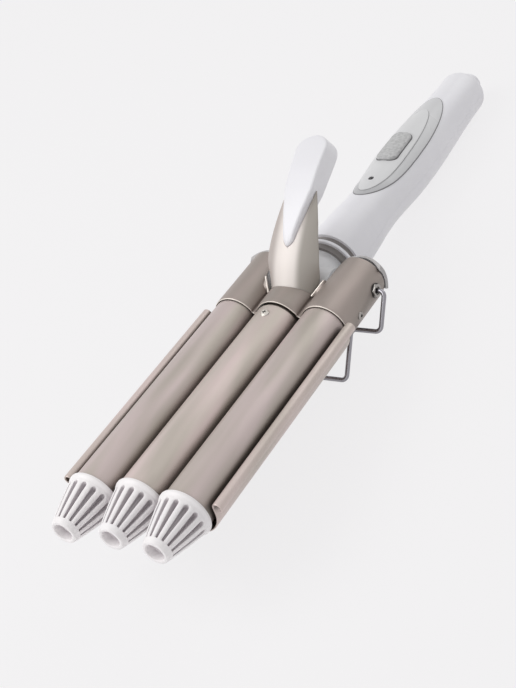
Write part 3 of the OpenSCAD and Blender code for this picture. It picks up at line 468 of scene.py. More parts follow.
def make_piece(name, parts, body, finish, replaced=(), sharp_deg=35.0):
    """Mesh piece from (points in bench mm, quads) pairs, merged, turned outwards, shaded
    smooth with edges kept where faces meet at more than sharp_deg. A piece without a body
    is attached to no body."""
    points, faces = join(parts)
    mesh = bpy.data.meshes.new(name)
    mesh.from_pydata(to_table(points).tolist(), [], faces.tolist())
    tidy = bmesh.new()
    tidy.from_mesh(mesh)
    bmesh.ops.remove_doubles(tidy, verts=tidy.verts, dist=2e-6)
    bmesh.ops.dissolve_degenerate(tidy, dist=1e-6, edges=tidy.edges)
    bmesh.ops.recalc_face_normals(tidy, faces=tidy.faces)
    tidy.to_mesh(mesh)
    tidy.free()
    mesh.shade_smooth()
    mesh.set_sharp_from_angle(angle=math.radians(sharp_deg))
    mesh.materials.append(bpy.data.materials[finish])
    piece = bpy.data.objects.new(name, mesh)
    bpy.context.scene.collection.objects.link(piece)
    if body:
        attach(piece, body)
    if replaced:
        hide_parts(*replaced)
    print(name, len(mesh.polygons), "faces,",
          np.round(np.ptp(points, axis=0), 1), "mm")
    return piece


# %% [markdown]
# ## Sheet with a rolled-over edge
# A stamped sheet has soft edges from the tumbling drum. The sheet is a middle surface
# with a normal at each point. Its half thickness is full inside and falls to zero at the
# border along a quarter circle, so that top and bottom meet in a half-round rim.

# %% Sheet helper
RIM_STEPS = 4


def rim_ramp(length, radius, inner):
    """Places along a line of that length, crowded near both ends: r (1 - cos a) for a
    from 0 to 90 degrees, then `inner` even steps."""
    a = np.linspace(0, np.pi / 2, RIM_STEPS + 1)
    ramp = radius * (1 - np.cos(a))
    middle = np.linspace(radius, length - radius, inner + 1)[1:-1]
    return np.concatenate([ramp, middle, length - ramp[::-1]])


def half_thickness(distance, radius):
    """r sqrt(1 - (1 - d / r)^2) at distance d from the border, and r further in."""
    d = np.clip(distance / radius, 0, 1)
    return radius * np.sqrt(np.maximum(1 - (1 - d) ** 2, 0))


def normals_of(grid):
    """Unit normals of a grid surface: the cross product of its two directions."""
    du, dv = np.gradient(grid, axis=0), np.gradient(grid, axis=1)
    n = np.cross(du, dv)
    return n / np.maximum(np.linalg.norm(n, axis=2, keepdims=True), 1e-9)


def closed(top, bottom):
    """Both faces of a sheet as pairs of points and quads."""
    rows, cols = top.shape[:2]
    return [(top, grid_faces(rows, cols)), (bottom, grid_faces(rows, cols, flip=True))]


def sheet(middle, border, thickness, normals=None):
    """Closed sheet round a middle surface: border holds each point's distance to the
    nearest edge, in mm."""
    n = normals_of(middle) if normals is None else normals
    h = half_thickness(border, thickness / 2)[..., None]
    return closed(middle + n * h, middle - n * h)


# %% [markdown]
# ## Wave plate
# The plate is one sheet of aluminium pressed over the centre barrel: a ridge in the
# middle, a trough on each side for the outer barrels, and upright outer walls that end in
# a rolled hem. Its outline is a chain of arcs and lines, each starting where the last one
# ended in the same direction, and the sheet is that outline carried along the barrels.

# %% Measures shared with the CAD model
BARREL_R = 12.5
PITCH = 27.1
SHEET = 0.9
RIDGE_R = BARREL_R + 0.3
TROUGH_R = PITCH - RIDGE_R
COLLAR_FRONT = -32.1
BARREL_FRONT = COLLAR_FRONT - 134.7
PLATE_FRONT = BARREL_FRONT + 2.4
PLATE_REAR = COLLAR_FRONT - 1.2
LIP_TOP, CURL_R, CURL_WRAP = 5.8, 2.7, 250.0
MIRROR = np.array([-1.0, 1.0])

# %% Outline of the plate


def arc(cx, cz, r, a0, a1, step_mm=0.55):
    """Points and outward normals of an arc about (cx, cz) from angle a0 to a1."""
    count = max(int(abs(np.radians(a1 - a0)) * r / step_mm), 6)
    a = np.radians(np.linspace(a0, a1, count + 1))
    n = np.stack([np.cos(a), np.sin(a)], axis=1)
    return np.array([cx, cz]) + r * n, n


def mirrored(half):
    """A right half that ends on the middle plane, and its mirror image in reverse."""
    return np.concatenate([half, half[-2::-1] * MIRROR])


def plate_outline():
    """Middle line of the sheet from the right hem to the left, with its normals: curl,
    wall, trough, ridge, trough, wall, curl."""
    wall_x = PITCH + TROUGH_R + SHEET / 2
    curl_mid = CURL_R - SHEET / 2
    curl_z = LIP_TOP - CURL_R
    curl, curl_n = arc(wall_x + curl_mid, curl_z, curl_mid, 180 - CURL_WRAP, 180, 0.4)
    trough, trough_n = arc(PITCH, 0, TROUGH_R + SHEET / 2, 360, 180)
    wall_z = np.linspace(curl_z, 0, 6)[1:-1]
    wall = np.stack([np.full(4, wall_x), wall_z], axis=1)
    wall_n = np.tile([1.0, 0.0], (4, 1))
    ridge, ridge_n = arc(0, 0, RIDGE_R - SHEET / 2, 0, 90)
    line = np.concatenate([curl, wall, trough[:-1], ridge])
    n = np.concatenate([-curl_n, wall_n, trough_n[:-1], -ridge_n])
    return mirrored(line), mirrored(n)


def carried_along_y(line, line_n, y0, y1, thickness, inner=26, long=30.0, sink=None):
    """The outline carried from y0 to y1 as a sheet with rounded rims. Both ends are numbers
    or one value for each outline point, the stations between them are spaced as on a sheet
    `long` mm long, and sink, if given, moves a point against its normal."""
    y0, y1 = (np.broadcast_to(y, len(line))[:, None] for y in (y0, y1))
    share = rim_ramp(long, thickness / 2, inner) / long
    stations = y0 + (y1 - y0) * share
    run = np.concatenate([[0], np.cumsum(np.linalg.norm(np.diff(line, axis=0), axis=1))])
    across = np.minimum(run, run[-1] - run)[:, None]
    ahead = np.minimum(share, 1 - share) * long
    flat = 0 * stations
    middle = np.stack([line[:, :1] + flat, stations, line[:, 1:] + flat], axis=2)
    n = np.stack([line_n[:, :1] + flat, flat, line_n[:, 1:] + flat], axis=2)
    if sink:
        middle = middle - n * sink(line[:, :1], stations - y0)[..., None]
    return sheet(middle, np.minimum(across, ahead), thickness, n)


line, line_n = plate_outline()
plate = carried_along_y(line, line_n, PLATE_FRONT, PLATE_REAR, SHEET, 14,
                        PLATE_REAR - PLATE_FRONT)
make_piece("wave_plate_sheet", plate, "handle", "ridge_highlight_coating", ["wave_plate"])

# %% [markdown]
# ## Barrels
# Each outer barrel is a drawn aluminium tube. Its profile, a wall with two rounded rims,
# is turned round the barrel's axis.

# %% Turned pieces


def turned(profile, sides=96, x=0.0, z=0.0):
    """Closed ring of (radius, y) points turned about the line (x, z) along Y: at angle a a
    point is (x + r cos a, y, z + r sin a)."""
    profile = np.asarray(profile, float)
    a = full_turn(sides)[:, None]
    grid = np.stack([x + profile[:, 0] * np.cos(a), profile[:, 1] + 0 * a,
                     z + profile[:, 0] * np.sin(a)], axis=2)
    return grid, grid_faces(sides, len(profile), wrap_rows=True, wrap_cols=True)


def rim(r, y, radius, a0, a1, steps=4):
    """Quarter of a rounded edge about (r, y) from angle a0 to a1."""
    a = np.radians(np.linspace(a0, a1, steps + 1))
    return np.stack([r + radius * np.cos(a), y + radius * np.sin(a)], axis=1)


BARREL_WALL = 0.8
BARREL_REAR = -BARREL_R + 0.3 - 0.8


def tube_profile(outer, wall, y0, y1):
    """Section of a tube wall: rounded rim at y0, straight outside, rounded rim at y1."""
    h = wall / 2
    return np.concatenate([rim(outer - h, y0 + h, h, 180, 360, 6),
                           rim(outer - h, y1 - h, h, 0, 180, 6)])


for side, name in ((-1, "left_barrel"), (1, "right_barrel")):
    profile = tube_profile(BARREL_R, BARREL_WALL, BARREL_FRONT, BARREL_REAR)
    make_piece(name + "_tube", [turned(profile, x=side * PITCH)], "clamp",
               "champagne_coating", [name])

# %% [markdown]
# ## Slotted tips
# The white caps keep fingers off the hot ends. Each is one moulding: a plug, a rim that
# flows into a cone, slots that end round at both ends over a closed inner cone, and a
# hollow nose. Its skin is a turned profile whose points dip inwards where a slot is open.
# The columns of the grid follow the slots' edges, so that the slots' walls stay upright,
# and the ribs between them are a little bowed.

# %% Tip measures
RIM_W, RIM_R = 2.2, PITCH - BARREL_R - 0.8
TIP_LEN, NOSE_R, NOSE_HOLE_R, NOSE_DEPTH = 26.4, 6.5, 4.9, 5.0
RIBS = 14
RIM_STAGGER = RIM_W
SLOT_FROM, SLOT_TO = RIM_W + 1.6, TIP_LEN * 0.86 + 0.6
SLOT_WIDE, SLOT_NARROW = 2.9, 1.22
SLOT_DEEP, SLOT_SHALLOW, BOW = 4.2, 2.0, 0.4


def smooth_step(k):
    """k^2 (3 - 2 k) between 0 and 1."""
    k = np.clip(k, 0, 1)
    return k * k * (3 - 2 * k)


def tip_radius(ahead):
    """Outside radius that far ahead of the rim's back: the rim falls to the shoulder by a
    smooth step, and from there the cone by (1 - t ^ 1.15) ^ 0.92 to the nose."""
    t = np.clip((ahead - RIM_W) / (TIP_LEN - RIM_W), 0, 1)
    shoulder = RIM_R - 0.85
    cone = NOSE_R + (shoulder - NOSE_R) * (1 - t ** 1.15) ** 0.92
    return cone + 0.85 * (1 - smooth_step((ahead - RIM_W + 1.2) / 2.0))


def slot_openness(ahead):
    """0 where there is no slot, 1 where it is full, and a circle's rise at both ends."""
    first, last = SLOT_WIDE / 2, SLOT_NARROW / 2
    return np.minimum(half_thickness(ahead - SLOT_FROM, first) / first,
                      half_thickness(SLOT_TO - ahead, last) / last)


# %% Tips
SECTION = np.radians(np.linspace(-70, 70, 9))
RIB_AT = np.concatenate([np.sin(SECTION) / np.sin(SECTION[-1]), np.ones(6)])
SLOT_AT = np.concatenate([np.zeros(9), [0, 0, 0.33, 0.67, 1, 1]])
BOW_AT = np.concatenate([(1 - np.cos(SECTION)) / (1 - np.cos(SECTION[-1])), np.ones(6)])
SINK_AT = np.concatenate([np.zeros(9), [0.5, 1, 1, 1, 1, 0.5]])


def tip_parts(x, front, bore_r):
    """A tip whose rim's back lies at y = front, plugged into a bore of that radius."""
    slot = SLOT_FROM + rim_ramp(SLOT_TO - SLOT_FROM, SLOT_WIDE / 2, 26)
    s = np.concatenate([np.linspace(0.3, SLOT_FROM, 14)[:-1], slot,
                        SLOT_TO - np.array([0.5, 0.3, 0.12, 0.03]),
                        np.linspace(SLOT_TO, TIP_LEN - 0.35, 6)[1:]])
    s = np.unique(np.round(s, 4))
    depth = TIP_LEN - NOSE_DEPTH
    profile = np.concatenate([
        [[0.01, RIM_W + 1], [bore_r - 2, RIM_W + 1], [bore_r - 2, -6.7], [bore_r - 1.7, -7],
         [bore_r - 0.4, -7], [bore_r, -6.6], [bore_r, 0]],
        rim(RIM_R - 0.3, 0.3, 0.3, -90, 0, 3)[:-1], np.stack([tip_radius(s), s], axis=1),
        rim(NOSE_R - 0.35, TIP_LEN - 0.35, 0.35, 10, 90, 3),
        rim(NOSE_HOLE_R + 0.35, TIP_LEN - 0.35, 0.35, 90, 180, 3),
        [[NOSE_HOLE_R - 0.2, depth + 0.5], [NOSE_HOLE_R - 0.7, depth], [0.01, depth]]])
    radius, ahead = profile[:, 0], profile[:, 1]
    on_skin = radius > tip_radius(ahead) - 0.01
    opened = np.where(on_skin, slot_openness(ahead), 0.0)
    t = np.clip((ahead - SLOT_FROM) / (SLOT_TO - SLOT_FROM), 0, 1)
    slot_half = (SLOT_WIDE + (SLOT_NARROW - SLOT_WIDE) * t) / 2 * opened / radius
    sink = np.where(opened > 0, SLOT_DEEP + (SLOT_SHALLOW - SLOT_DEEP) * t, 0.0)
    turn_by = 2 * np.pi * np.arange(RIBS)[None, :, None] / RIBS
    angle = (turn_by + (np.pi / RIBS - slot_half)[:, None, None] * RIB_AT
             + 2 * slot_half[:, None, None] * SLOT_AT).reshape(len(radius), -1)
    inward = BOW * opened[:, None] * BOW_AT + sink[:, None] * SINK_AT
    reach = radius[:, None] - np.tile(inward, (1, RIBS))
    grid = np.stack([x + reach * np.sin(angle), np.broadcast_to(
        front - ahead[:, None], angle.shape), reach * np.cos(angle)], axis=2)
    return [(grid, grid_faces(*angle.shape, wrap_cols=True))]


CENTRE_R = RIDGE_R - SHEET - 0.2
for name, x, front, tube_r, body in (
        ("left_tip", -PITCH, BARREL_FRONT, BARREL_R, "clamp"),
        ("right_tip", PITCH, BARREL_FRONT, BARREL_R, "clamp"),
        ("centre_tip", 0.0, BARREL_FRONT + RIM_STAGGER, CENTRE_R, "handle")):
    make_piece(name + "_cage", tip_parts(x, front, tube_r - BARREL_WALL - 0.05), body,
               "tip_nylon", [name])

# %% [markdown]
# ## Collars
# Three arches of one sheet hold the outer barrels and bridge the ridge. On the real tool
# the sheet is cut, bent round a former and tumbled, so its rear corners are round and its
# cut front edge is bright where the coating wore off. The outline of the arches is carried
# back to a line that depends on the place along the outline: all the way behind the
# barrels, and only to the crease under the lever in the middle.

# %% Outline of the arches
COLLAR_R = BARREL_R + 0.05 + SHEET / 2
ARCH_UNDER = RIDGE_R + 0.65
ARCH_R = ARCH_UNDER + SHEET / 2
LEVER_UNDER = ARCH_UNDER - 0.02
COLLAR_REAR, SKIRT_DROP, VALLEY_Z = 9.7, 9.8, 6.5
TOE_IN = 0.35
CREASE_Y, CREASE_BACK, CREASE_HALF = -19.8, 4.5, 12.3


def arches_outline():
    """Right half of the middle line and its normals: over the outer arch from the skirt's
    foot, round the tight fold in the valley, then over the middle arch to its crown."""
    foot = -math.degrees(math.asin(SKIRT_DROP / COLLAR_R))
    into = math.degrees(math.asin(VALLEY_Z / COLLAR_R))
    out_of = math.degrees(math.asin(VALLEY_Z / ARCH_R))
    outer, outer_n = arc(PITCH, 0, COLLAR_R, foot, 180 - into, 0.35)
    middle, middle_n = arc(0, 0, ARCH_R, out_of, 90, 0.35)
    fold_r = (outer[-1, 0] - middle[0, 0]) / 2
    fold, fold_n = arc(middle[0, 0] + fold_r, VALLEY_Z, fold_r, 0, -180, 0.2)
    line = np.concatenate([outer, fold[1:-1], middle])
    return line, np.concatenate([outer_n, -fold_n[1:-1], middle_n])


def collar_rear(points):
    """Where the sheet ends behind each outline point: the rear edge outside, a slanting
    slit edge on the inner shoulder, and the crease, an arc, over the middle arch."""
    x, z = np.abs(points[:, 0]), points[:, 1]
    shoulder = np.degrees(np.arctan2(z, PITCH - x))
    rear = np.interp(shoulder, [20, 30, 45, 54, 60, 68, 74],
                     [-16.2, -15.3, -13.7, -6, 3, COLLAR_REAR - 1.5, COLLAR_REAR])
    skirt = np.degrees(np.arctan2(z, x - PITCH))
    corner = np.clip((-skirt - 32) / 18, 0, 1)
    rear = np.where(x > PITCH, COLLAR_REAR - 4 * (1 - np.sqrt(1 - corner ** 2)), rear)
    crease = CREASE_Y + CREASE_BACK * (x / CREASE_HALF) ** 2
    return np.where(x < CREASE_HALF, np.minimum(crease, -15.5), rear)


def smoothed(values, passes=2):
    """Rounds corners of a line: each value becomes (left + 2 own + right) / 4."""
    for _ in range(passes):
        inner = (values[:-2] + 2 * values[1:-1] + values[2:]) / 4
        values = np.concatenate([values[:1], inner, values[-1:]])
    return values


half, half_n = arches_outline()
line, line_n = mirrored(half), mirrored(half_n)
rear = smoothed(collar_rear(line))

# %% Collar sheet


def toe_in(x, ahead):
    """How far the middle arch bends towards the ridge: TOE_IN at its front edge, nothing
    3 mm behind it and nothing on the outer arches."""
    return TOE_IN * (1 - smooth_step(ahead / 3)) * (1 - smooth_step((np.abs(x) - 10) / 3))


make_piece("collar_sheet",
           carried_along_y(line, line_n, COLLAR_FRONT, rear, SHEET, sink=toe_in),
           "clamp", "collar_coating", ["clamp_bracket"])

# %% [markdown]
# The worn front edge is a thin bright line, a round bead a little prouder than the sheet's
# own rim, drawn along the outline.

# %% Bright cut edge


def bead_along(points, radius, across=(0.0, 1.0, 0.0), closed=False, sides=8):
    """Tube round a line of points: circles in the plane across the line's direction, which
    must nowhere run along `across`."""
    ahead = np.gradient(points, axis=0)
    ahead /= np.linalg.norm(ahead, axis=1, keepdims=True)
    side = np.cross(ahead, across)
    side /= np.linalg.norm(side, axis=1, keepdims=True)
    other = np.cross(ahead, side)
    a = full_turn(sides)
    grid = points[:, None] + radius * (np.cos(a)[None, :, None] * side[:, None]
                                       + np.sin(a)[None, :, None] * other[:, None])
    if closed:
        return [(grid, grid_faces(len(points), sides, wrap_rows=True, wrap_cols=True))]
    ends = [np.repeat(points[i:i + 1, None], sides, axis=1) for i in (0, -1)]
    grid = np.concatenate([ends[0], grid, ends[1]])
    return [(grid, grid_faces(len(grid), sides, wrap_cols=True))]


EDGE_Y, EDGE_R = COLLAR_FRONT + 0.16, SHEET / 2 * 0.8
bent = line - line_n * toe_in(line[:, :1], 0.0)
edge = np.stack([bent[:, 0], np.full(len(line), EDGE_Y), bent[:, 1]], 1)
make_piece("collar_bright_edge", bead_along(edge, EDGE_R), "clamp", "worn_edge")

# %% [markdown]
# Beside the lever's foot the collar is slit free of the middle arch, and the cut edge is
# turned up a little. The photo shows its bare edge as a short bright line on each side.
# It is a narrow sheet between the collar's slanting rear edge and a straight line above
# it, with a bright bead along that line.

# %% Turned-up slit edges
FLANGE_FOOT, FLANGE_HEAD = np.array([13.2, -17.4, 6.9]), np.array([18.2, -9.2, 11.8])
SLIT_FIRST, SLIT_LAST = 114, 132  # points of the outline along the slanting edge


def flange(side):
    """Ruled sheet from the slit's edge to a straight line above: low (1 - v) + high v."""
    picked = np.linspace(SLIT_LAST, SLIT_FIRST, 24)
    index = np.arange(len(half))
    low = np.stack([np.interp(picked, index, half[:, 0]),
                    np.interp(picked, index, smoothed(collar_rear(half))) - 0.3,
                    np.interp(picked, index, half[:, 1])], axis=1)
    u = np.linspace(0, 1, 24)[:, None]
    high = FLANGE_FOOT * (1 - u) + FLANGE_HEAD * u
    share = rim_ramp(1.0, 0.12, 4)
    middle = low[:, None] * (1 - share[:, None]) + high[:, None] * share[:, None]
    long = np.linalg.norm(high - low, axis=1)[:, None]
    border = np.minimum(long * (1 - share), 9 * np.minimum(u, 1 - u) + 0.05)
    return sheet(middle * [side, 1, 1], border, SHEET * 0.9)


def flange_edge(side):
    """Bead along that line: foot (1 - u) + head u."""
    u = np.linspace(0.03, 0.97, 24)[:, None]
    return bead_along((FLANGE_FOOT * (1 - u) + FLANGE_HEAD * u) * [side, 1, 1], 0.48)


make_piece("slit_flanges", flange(1) + flange(-1), "clamp", "collar_coating")
make_piece("slit_bright_edges", flange_edge(1) + flange_edge(-1), "clamp", "worn_edge")

# %% [markdown]
# ## Thumb lever
# The lever is a bright sheet that leaves the crease steeply and sweeps back over the
# handle. Its centre line is stepped off from slopes, each cross-section is an arc that
# bows upwards, and a V notch with a round bottom splits its end into two horns.

# %% Lever formulas


def slope_at(s):
    """Slope of the centre line in degrees, s mm from the crease."""
    return np.interp(s, [0, 10, 21, 32, 50, 66, 80, 90], [56, 51, 42, 36, 34.5, 31, 24, 20])


def bow_at(s):
    """Radius of the cross-section's bow."""
    return np.interp(s, [0, 6, 14, 25, 60], [13, 16.5, 21, 22, 24])


def half_width_at(s):
    """Half width of the blade, by straight lines between stations."""
    return np.interp(s, [0, 3, 6, 10, 14, 20, 26, 36, 43, 52],
                     [12.2, 14.2, 15.5, 15.9, 16, 15.6, 14.7, 13, 11.5, 9.3])


NOTCH_S, HORN_S, NOTCH_W, REST_LEN = 21.0, 52.0, 17.6, 63.0


def notch_at(s):
    """Half width of the notch: a round start and then a straight V."""
    u = np.clip((s - NOTCH_S) / (HORN_S - NOTCH_S), 0, None)
    return NOTCH_W / 2 * (0.72 * u + 0.28 * np.sqrt(np.minimum(1, u / 0.1)))


STEP = 0.25
path_s = np.arange(0, 90, STEP)
slopes = np.radians(slope_at(path_s + STEP / 2))
centre_y = CREASE_Y + np.concatenate([[0], np.cumsum(np.cos(slopes) * STEP)])[:-1]
centre_z = ARCH_UNDER + np.concatenate([[0], np.cumsum(np.sin(slopes) * STEP)])[:-1]


def centre_at(s):
    """(y, z) of the centre line, s mm from the crease."""
    return np.interp(s, path_s, centre_y), np.interp(s, path_s, centre_z)


def blade(s, x, t):
    """Point at s along the blade, x across it and t below its face. Near the crease it
    blends into the underside of the middle arch by the smooth step of s / 8."""
    y0, z0 = centre_at(s)
    m, r = np.radians(slope_at(s)), bow_at(s)
    a = np.arcsin(np.clip(x / r, -1, 1))
    drop = r - (r - t) * np.cos(a)
    free = np.stack([(r - t) * np.sin(a), y0 + drop * np.sin(m), z0 - drop * np.cos(m)], -1)
    b = np.arcsin(np.clip(x / LEVER_UNDER, -0.99, 0.99))
    foot = np.stack([(LEVER_UNDER - t) * np.sin(b),
                     CREASE_Y + 0.1 + CREASE_BACK * (x / CREASE_HALF) ** 2 * 0.8 + 0 * b,
                     (LEVER_UNDER - t) * np.cos(b)], -1)
    w = smooth_step(s / 8)[..., None]
    return free * w + foot * (1 - w)


# %% Lever sheet


def lever_half(side):
    """One side of the blade, from the centre or the notch out to the edge."""
    s = rim_ramp(HORN_S + 0.4, SHEET / 2, 90)
    inner, outer = notch_at(s), np.maximum(half_width_at(s), notch_at(s) + 0.35)
    across = rim_ramp(1.0, 0.03, 18)
    x = inner[:, None] + (outer - inner)[:, None] * across
    s_grid = s[:, None] + 0 * x
    wide = (outer - inner)[:, None]
    to_inner = np.where(inner[:, None] > 0, wide * across, np.inf)
    border = np.minimum(np.minimum(wide * (1 - across), to_inner), (s[-1] - s)[:, None])
    h = half_thickness(border, SHEET / 2)
    return closed(blade(s_grid, side * x, SHEET / 2 - h),
                  blade(s_grid, side * x, SHEET / 2 + h))


def lever_foot():
    """The part welded under the middle arch: an arc band of 76 degrees."""
    a = np.radians(np.linspace(52, 128, 30))
    n = np.stack([np.cos(a), np.sin(a)], 1)
    return carried_along_y(n * (LEVER_UNDER - SHEET / 2), n, CREASE_Y - 9, CREASE_Y + 0.3,
                           SHEET)


make_piece("lever_sheet", lever_half(1) + lever_half(-1) + lever_foot(), "clamp",
           "satin_champagne", ["thumb_lever"])

# %% [markdown]
# ## Thumb rest
# A white moulded grip fills the notch and runs on above it. Seen from above it is an
# arrow with a round end, from the side its top is gently arched and its belly deepens
# towards the end. Each cross-section is a box with rounded upper edges: a loop whose
# corner points are moved along quarter circles.

# %% Thumb rest
base_y, base_z = centre_at(NOTCH_S)
end_y, end_z = centre_at(NOTCH_S + REST_LEN)
chord = math.atan2(end_z - base_z, end_y - base_y)
SPAN = math.hypot(end_y - base_y, end_z - base_z)
REST_DEPTH, REST_END_W, REST_GAP = 10.4, 18.6, 0.3


def rest_half_width(s):
    """Half width in plan: the notch less its gap, widening to the round end."""
    r = REST_END_W / 2
    in_notch = notch_at(NOTCH_S + s) - REST_GAP
    free = HORN_S - NOTCH_S
    beyond = np.interp(s, [free, SPAN - r], [NOTCH_W / 2 - REST_GAP, r])
    round_end = np.sqrt(np.maximum(r * r - np.maximum(s - (SPAN - r), 0) ** 2, 0))
    return np.maximum(np.minimum(np.where(s < free, in_notch, beyond), round_end), 0.02)


def rest_top(s):
    """Height of the top over the chord, by straight lines between shares of its length."""
    return np.interp(s / SPAN, [0, 0.1, 0.2, 0.32, 0.46, 0.67, 0.8, 0.9, 0.96, 1],
                     [1, 2.8, 3.7, 4.4, 4.5, 4.2, 3.3, 1.9, 0.7, -0.6])


def rest_belly(s):
    """Height of the lower side, in the same way, as shares of REST_DEPTH."""
    return -np.interp(s / SPAN, [0, 0.16, 0.4, 0.82, 1.0],
                      np.array([0.115, 0.3, 0.62, 0.98, 1.0]) * REST_DEPTH)


def rest_loop(s):
    """Cross-section at s: top corners rounded with a radius of up to 1.3 mm, the top a
    little crowned, and the lower edges broken by 0.3 mm."""
    w, low = rest_half_width(s)[:, None], rest_belly(s)[:, None]
    top = rest_top(s)[:, None]
    r = np.minimum(1.3, w * 0.9)
    a = np.radians(np.linspace(0, 90, 7))
    right = np.stack([w - r * (1 - np.cos(a)), top - r * (1 - np.sin(a))], 2)
    c = np.linspace(1, -1, 9)[1:-1]
    flat = np.stack([(w - r) * c, top + 0.15 * (1 - c ** 2)], 2)
    broken = np.minimum(0.3, w * 0.5)
    foot = np.stack([np.concatenate([-w, broken - w], 1),
                     np.concatenate([low + broken, low], 1)], 2)
    return np.concatenate([right, flat, right[:, ::-1] * MIRROR, foot,
                           foot[:, ::-1] * MIRROR], axis=1)


tail = SPAN - REST_END_W / 2 * (1 - np.sin(np.linspace(0, np.pi / 2, 24)))
s = np.concatenate([np.linspace(0.3, SPAN - REST_END_W / 2, 60)[:-1], tail])
top_line = smoothed(rest_top(s), 6)
loop = rest_loop(s)
loop[..., 1] += (top_line - rest_top(s))[:, None] * (loop[..., 1] > 0)
grid = np.stack([loop[..., 0], base_y + s[:, None] * math.cos(chord) - loop[..., 1]
                 * math.sin(chord), base_z + s[:, None] * math.sin(chord) + loop[..., 1]
                 * math.cos(chord)], axis=2)
first, last = grid[:1].mean(axis=1, keepdims=True), grid[-1:].mean(axis=1, keepdims=True)
cols = grid.shape[1]
grid = np.concatenate([np.repeat(first, cols, 1), grid, np.repeat(last, cols, 1)])
make_piece("thumb_rest_grip", [(grid, grid_faces(len(grid), cols, wrap_cols=True))],
           "clamp", "white_abs", ["thumb_rest"])

# %% [markdown]
# ## Hinge eyelets
# Each eyelet is a hollow rivet with a six-sided head. A thin black ring under the head is
# painted shade between head and collar. Its profile is turned about the hinge axis, and in
# the head the radius follows a hexagon with chamfered corners. The wire goes into its dished
# mouth.

# %% Eyelets
EYELET_X, HEAD_R, HEAD_T, EYELET_R, BORE_R = 40.67, 3.9, 1.3, 2.6, 1.33
EYELET_LEN = 9.0


def hexagon(angle, radius):
    """Distance from the middle to the side of a hexagon: R cos 30 / cos(a mod 60 - 30)."""
    return radius * math.cos(math.pi / 6) / np.cos(angle % (math.pi / 3) - math.pi / 6)


def eyelet_parts(side):
    """Rows of (radius, distance out) turned about X. In the head the radius is the smaller
    of the hexagon's and a circle's."""
    a = full_turn(96)
    six = hexagon(a, HEAD_R)
    flat = HEAD_R * math.cos(math.pi / 6)
    rows = [(BORE_R, -EYELET_LEN), (EYELET_R, -EYELET_LEN), (EYELET_R, 0), (six, 0),
            (six, 0.8), (np.minimum(six, flat + 0.12), 1.12), (flat - 0.15, HEAD_T),
            (2.35, HEAD_T), (2.1, 1.15), (1.9, 0.75), (BORE_R, 0.55)]
    r = np.stack([np.broadcast_to(radius, a.shape) for radius, _ in rows])
    out = np.array([x for _, x in rows])[:, None]
    grid = np.stack([side * (EYELET_X + out) + 0 * r, r * np.sin(a), r * np.cos(a)], axis=2)
    return [(grid, grid_faces(*r.shape, wrap_rows=True, wrap_cols=True))]


def turned_x(profile, side, y=0.0, z=0.0, sides=48):
    """Closed profile of (radius, distance out) pairs turned about a line along X."""
    profile = np.asarray(profile, float)
    a = full_turn(sides)
    r, out = profile[:, :1], profile[:, 1:]
    grid = np.stack([side * out + 0 * a + 0 * r, y + r * np.sin(a), z + r * np.cos(a)], 2)
    return [(grid, grid_faces(len(profile), sides, wrap_rows=True, wrap_cols=True))]


# Painted shade: a thin black ring under each head stands for the shade between head and collar
SHADE_RING = [(3.0, 40.6), (3.8, 40.6), (3.95, 40.72), (3.85, 40.85), (3.0, 40.85)]
for name, side in (("left_eyelet", -1), ("right_eyelet", 1)):
    make_piece(name + "_rivet", eyelet_parts(side), "handle", "dull_steel", [name])
    make_piece(name + "_shade_ring", turned_x(SHADE_RING, side), "handle", "black_pbt_and_shade")

# %% [markdown]
# ## Return spring
# The torsion spring sits on a pin on the hinge axis. Its short leg stands on the yoke's
# floor and its long leg leans on the lever. When the clamp opens, the coil winds up a
# little and the long leg turns with the lever. The wire is attached to neither body.

# %% Torsion spring
WIRE_R, COIL_R, COIL_TURNS, COIL_HALF = 0.5, 3.25, 6.25, 4.9
LEG_OUT_Z, LEG_TIP_Y, LEG_TIP_Z = CENTRE_R + 1, -12.1, 19.3


def spring_line():
    """Short leg, then a helix (x falls evenly, (y, z) = -r (sin a, cos a)), then the long
    leg, straight up and over to the lever."""
    a = np.linspace(0, 2 * np.pi * COIL_TURNS, 151)
    coil = np.stack([COIL_HALF * (1 - 2 * a / a[-1]), -COIL_R * np.sin(a),
                     -COIL_R * np.cos(a)], axis=1)
    foot = np.array([[COIL_HALF, 5.2, -COIL_R], [COIL_HALF, 2.6, -COIL_R]])
    rise = np.linspace(0.8, LEG_OUT_Z - 2, 14)
    leg = np.stack([0 * rise - COIL_HALF, 0 * rise - COIL_R, rise], axis=1)
    over = np.array([[-COIL_HALF, -COIL_R - 1, LEG_OUT_Z],
                     [-COIL_HALF, LEG_TIP_Y, LEG_TIP_Z]])
    return np.concatenate([foot, coil, leg, over])


wire = make_piece("return_spring_wire", bead_along(spring_line(), WIRE_R, (1.0, 0.0, 0.0)),
                  None, "spring_steel", ["return_spring"])
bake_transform(wire)

# %% [markdown]
# ## Side screws
# A small domed screw with a round socket holds each collar to the barrel's plug.

# %% Side screws
SCREW_Y, SCREW_Z, SCREW_OUT = -18.4, -2.0, PITCH + BARREL_R + 0.93
SCREW = [(0.01, -6.0), (1.2, -6.0), (1.2, -0.3), (2.05, -0.3), (2.1, 0.1), (1.95, 0.42),
         (1.6, 0.66), (1.1, 0.8), (0.8, 0.8), (0.7, 0.3), (0.01, 0.3)]
screws = []
for side in (-1, 1):
    screws += turned_x(np.array(SCREW) + [0, SCREW_OUT], side, SCREW_Y, SCREW_Z)
make_piece("collar_screw_heads", screws, "clamp", "dull_steel", ["collar_screws"])
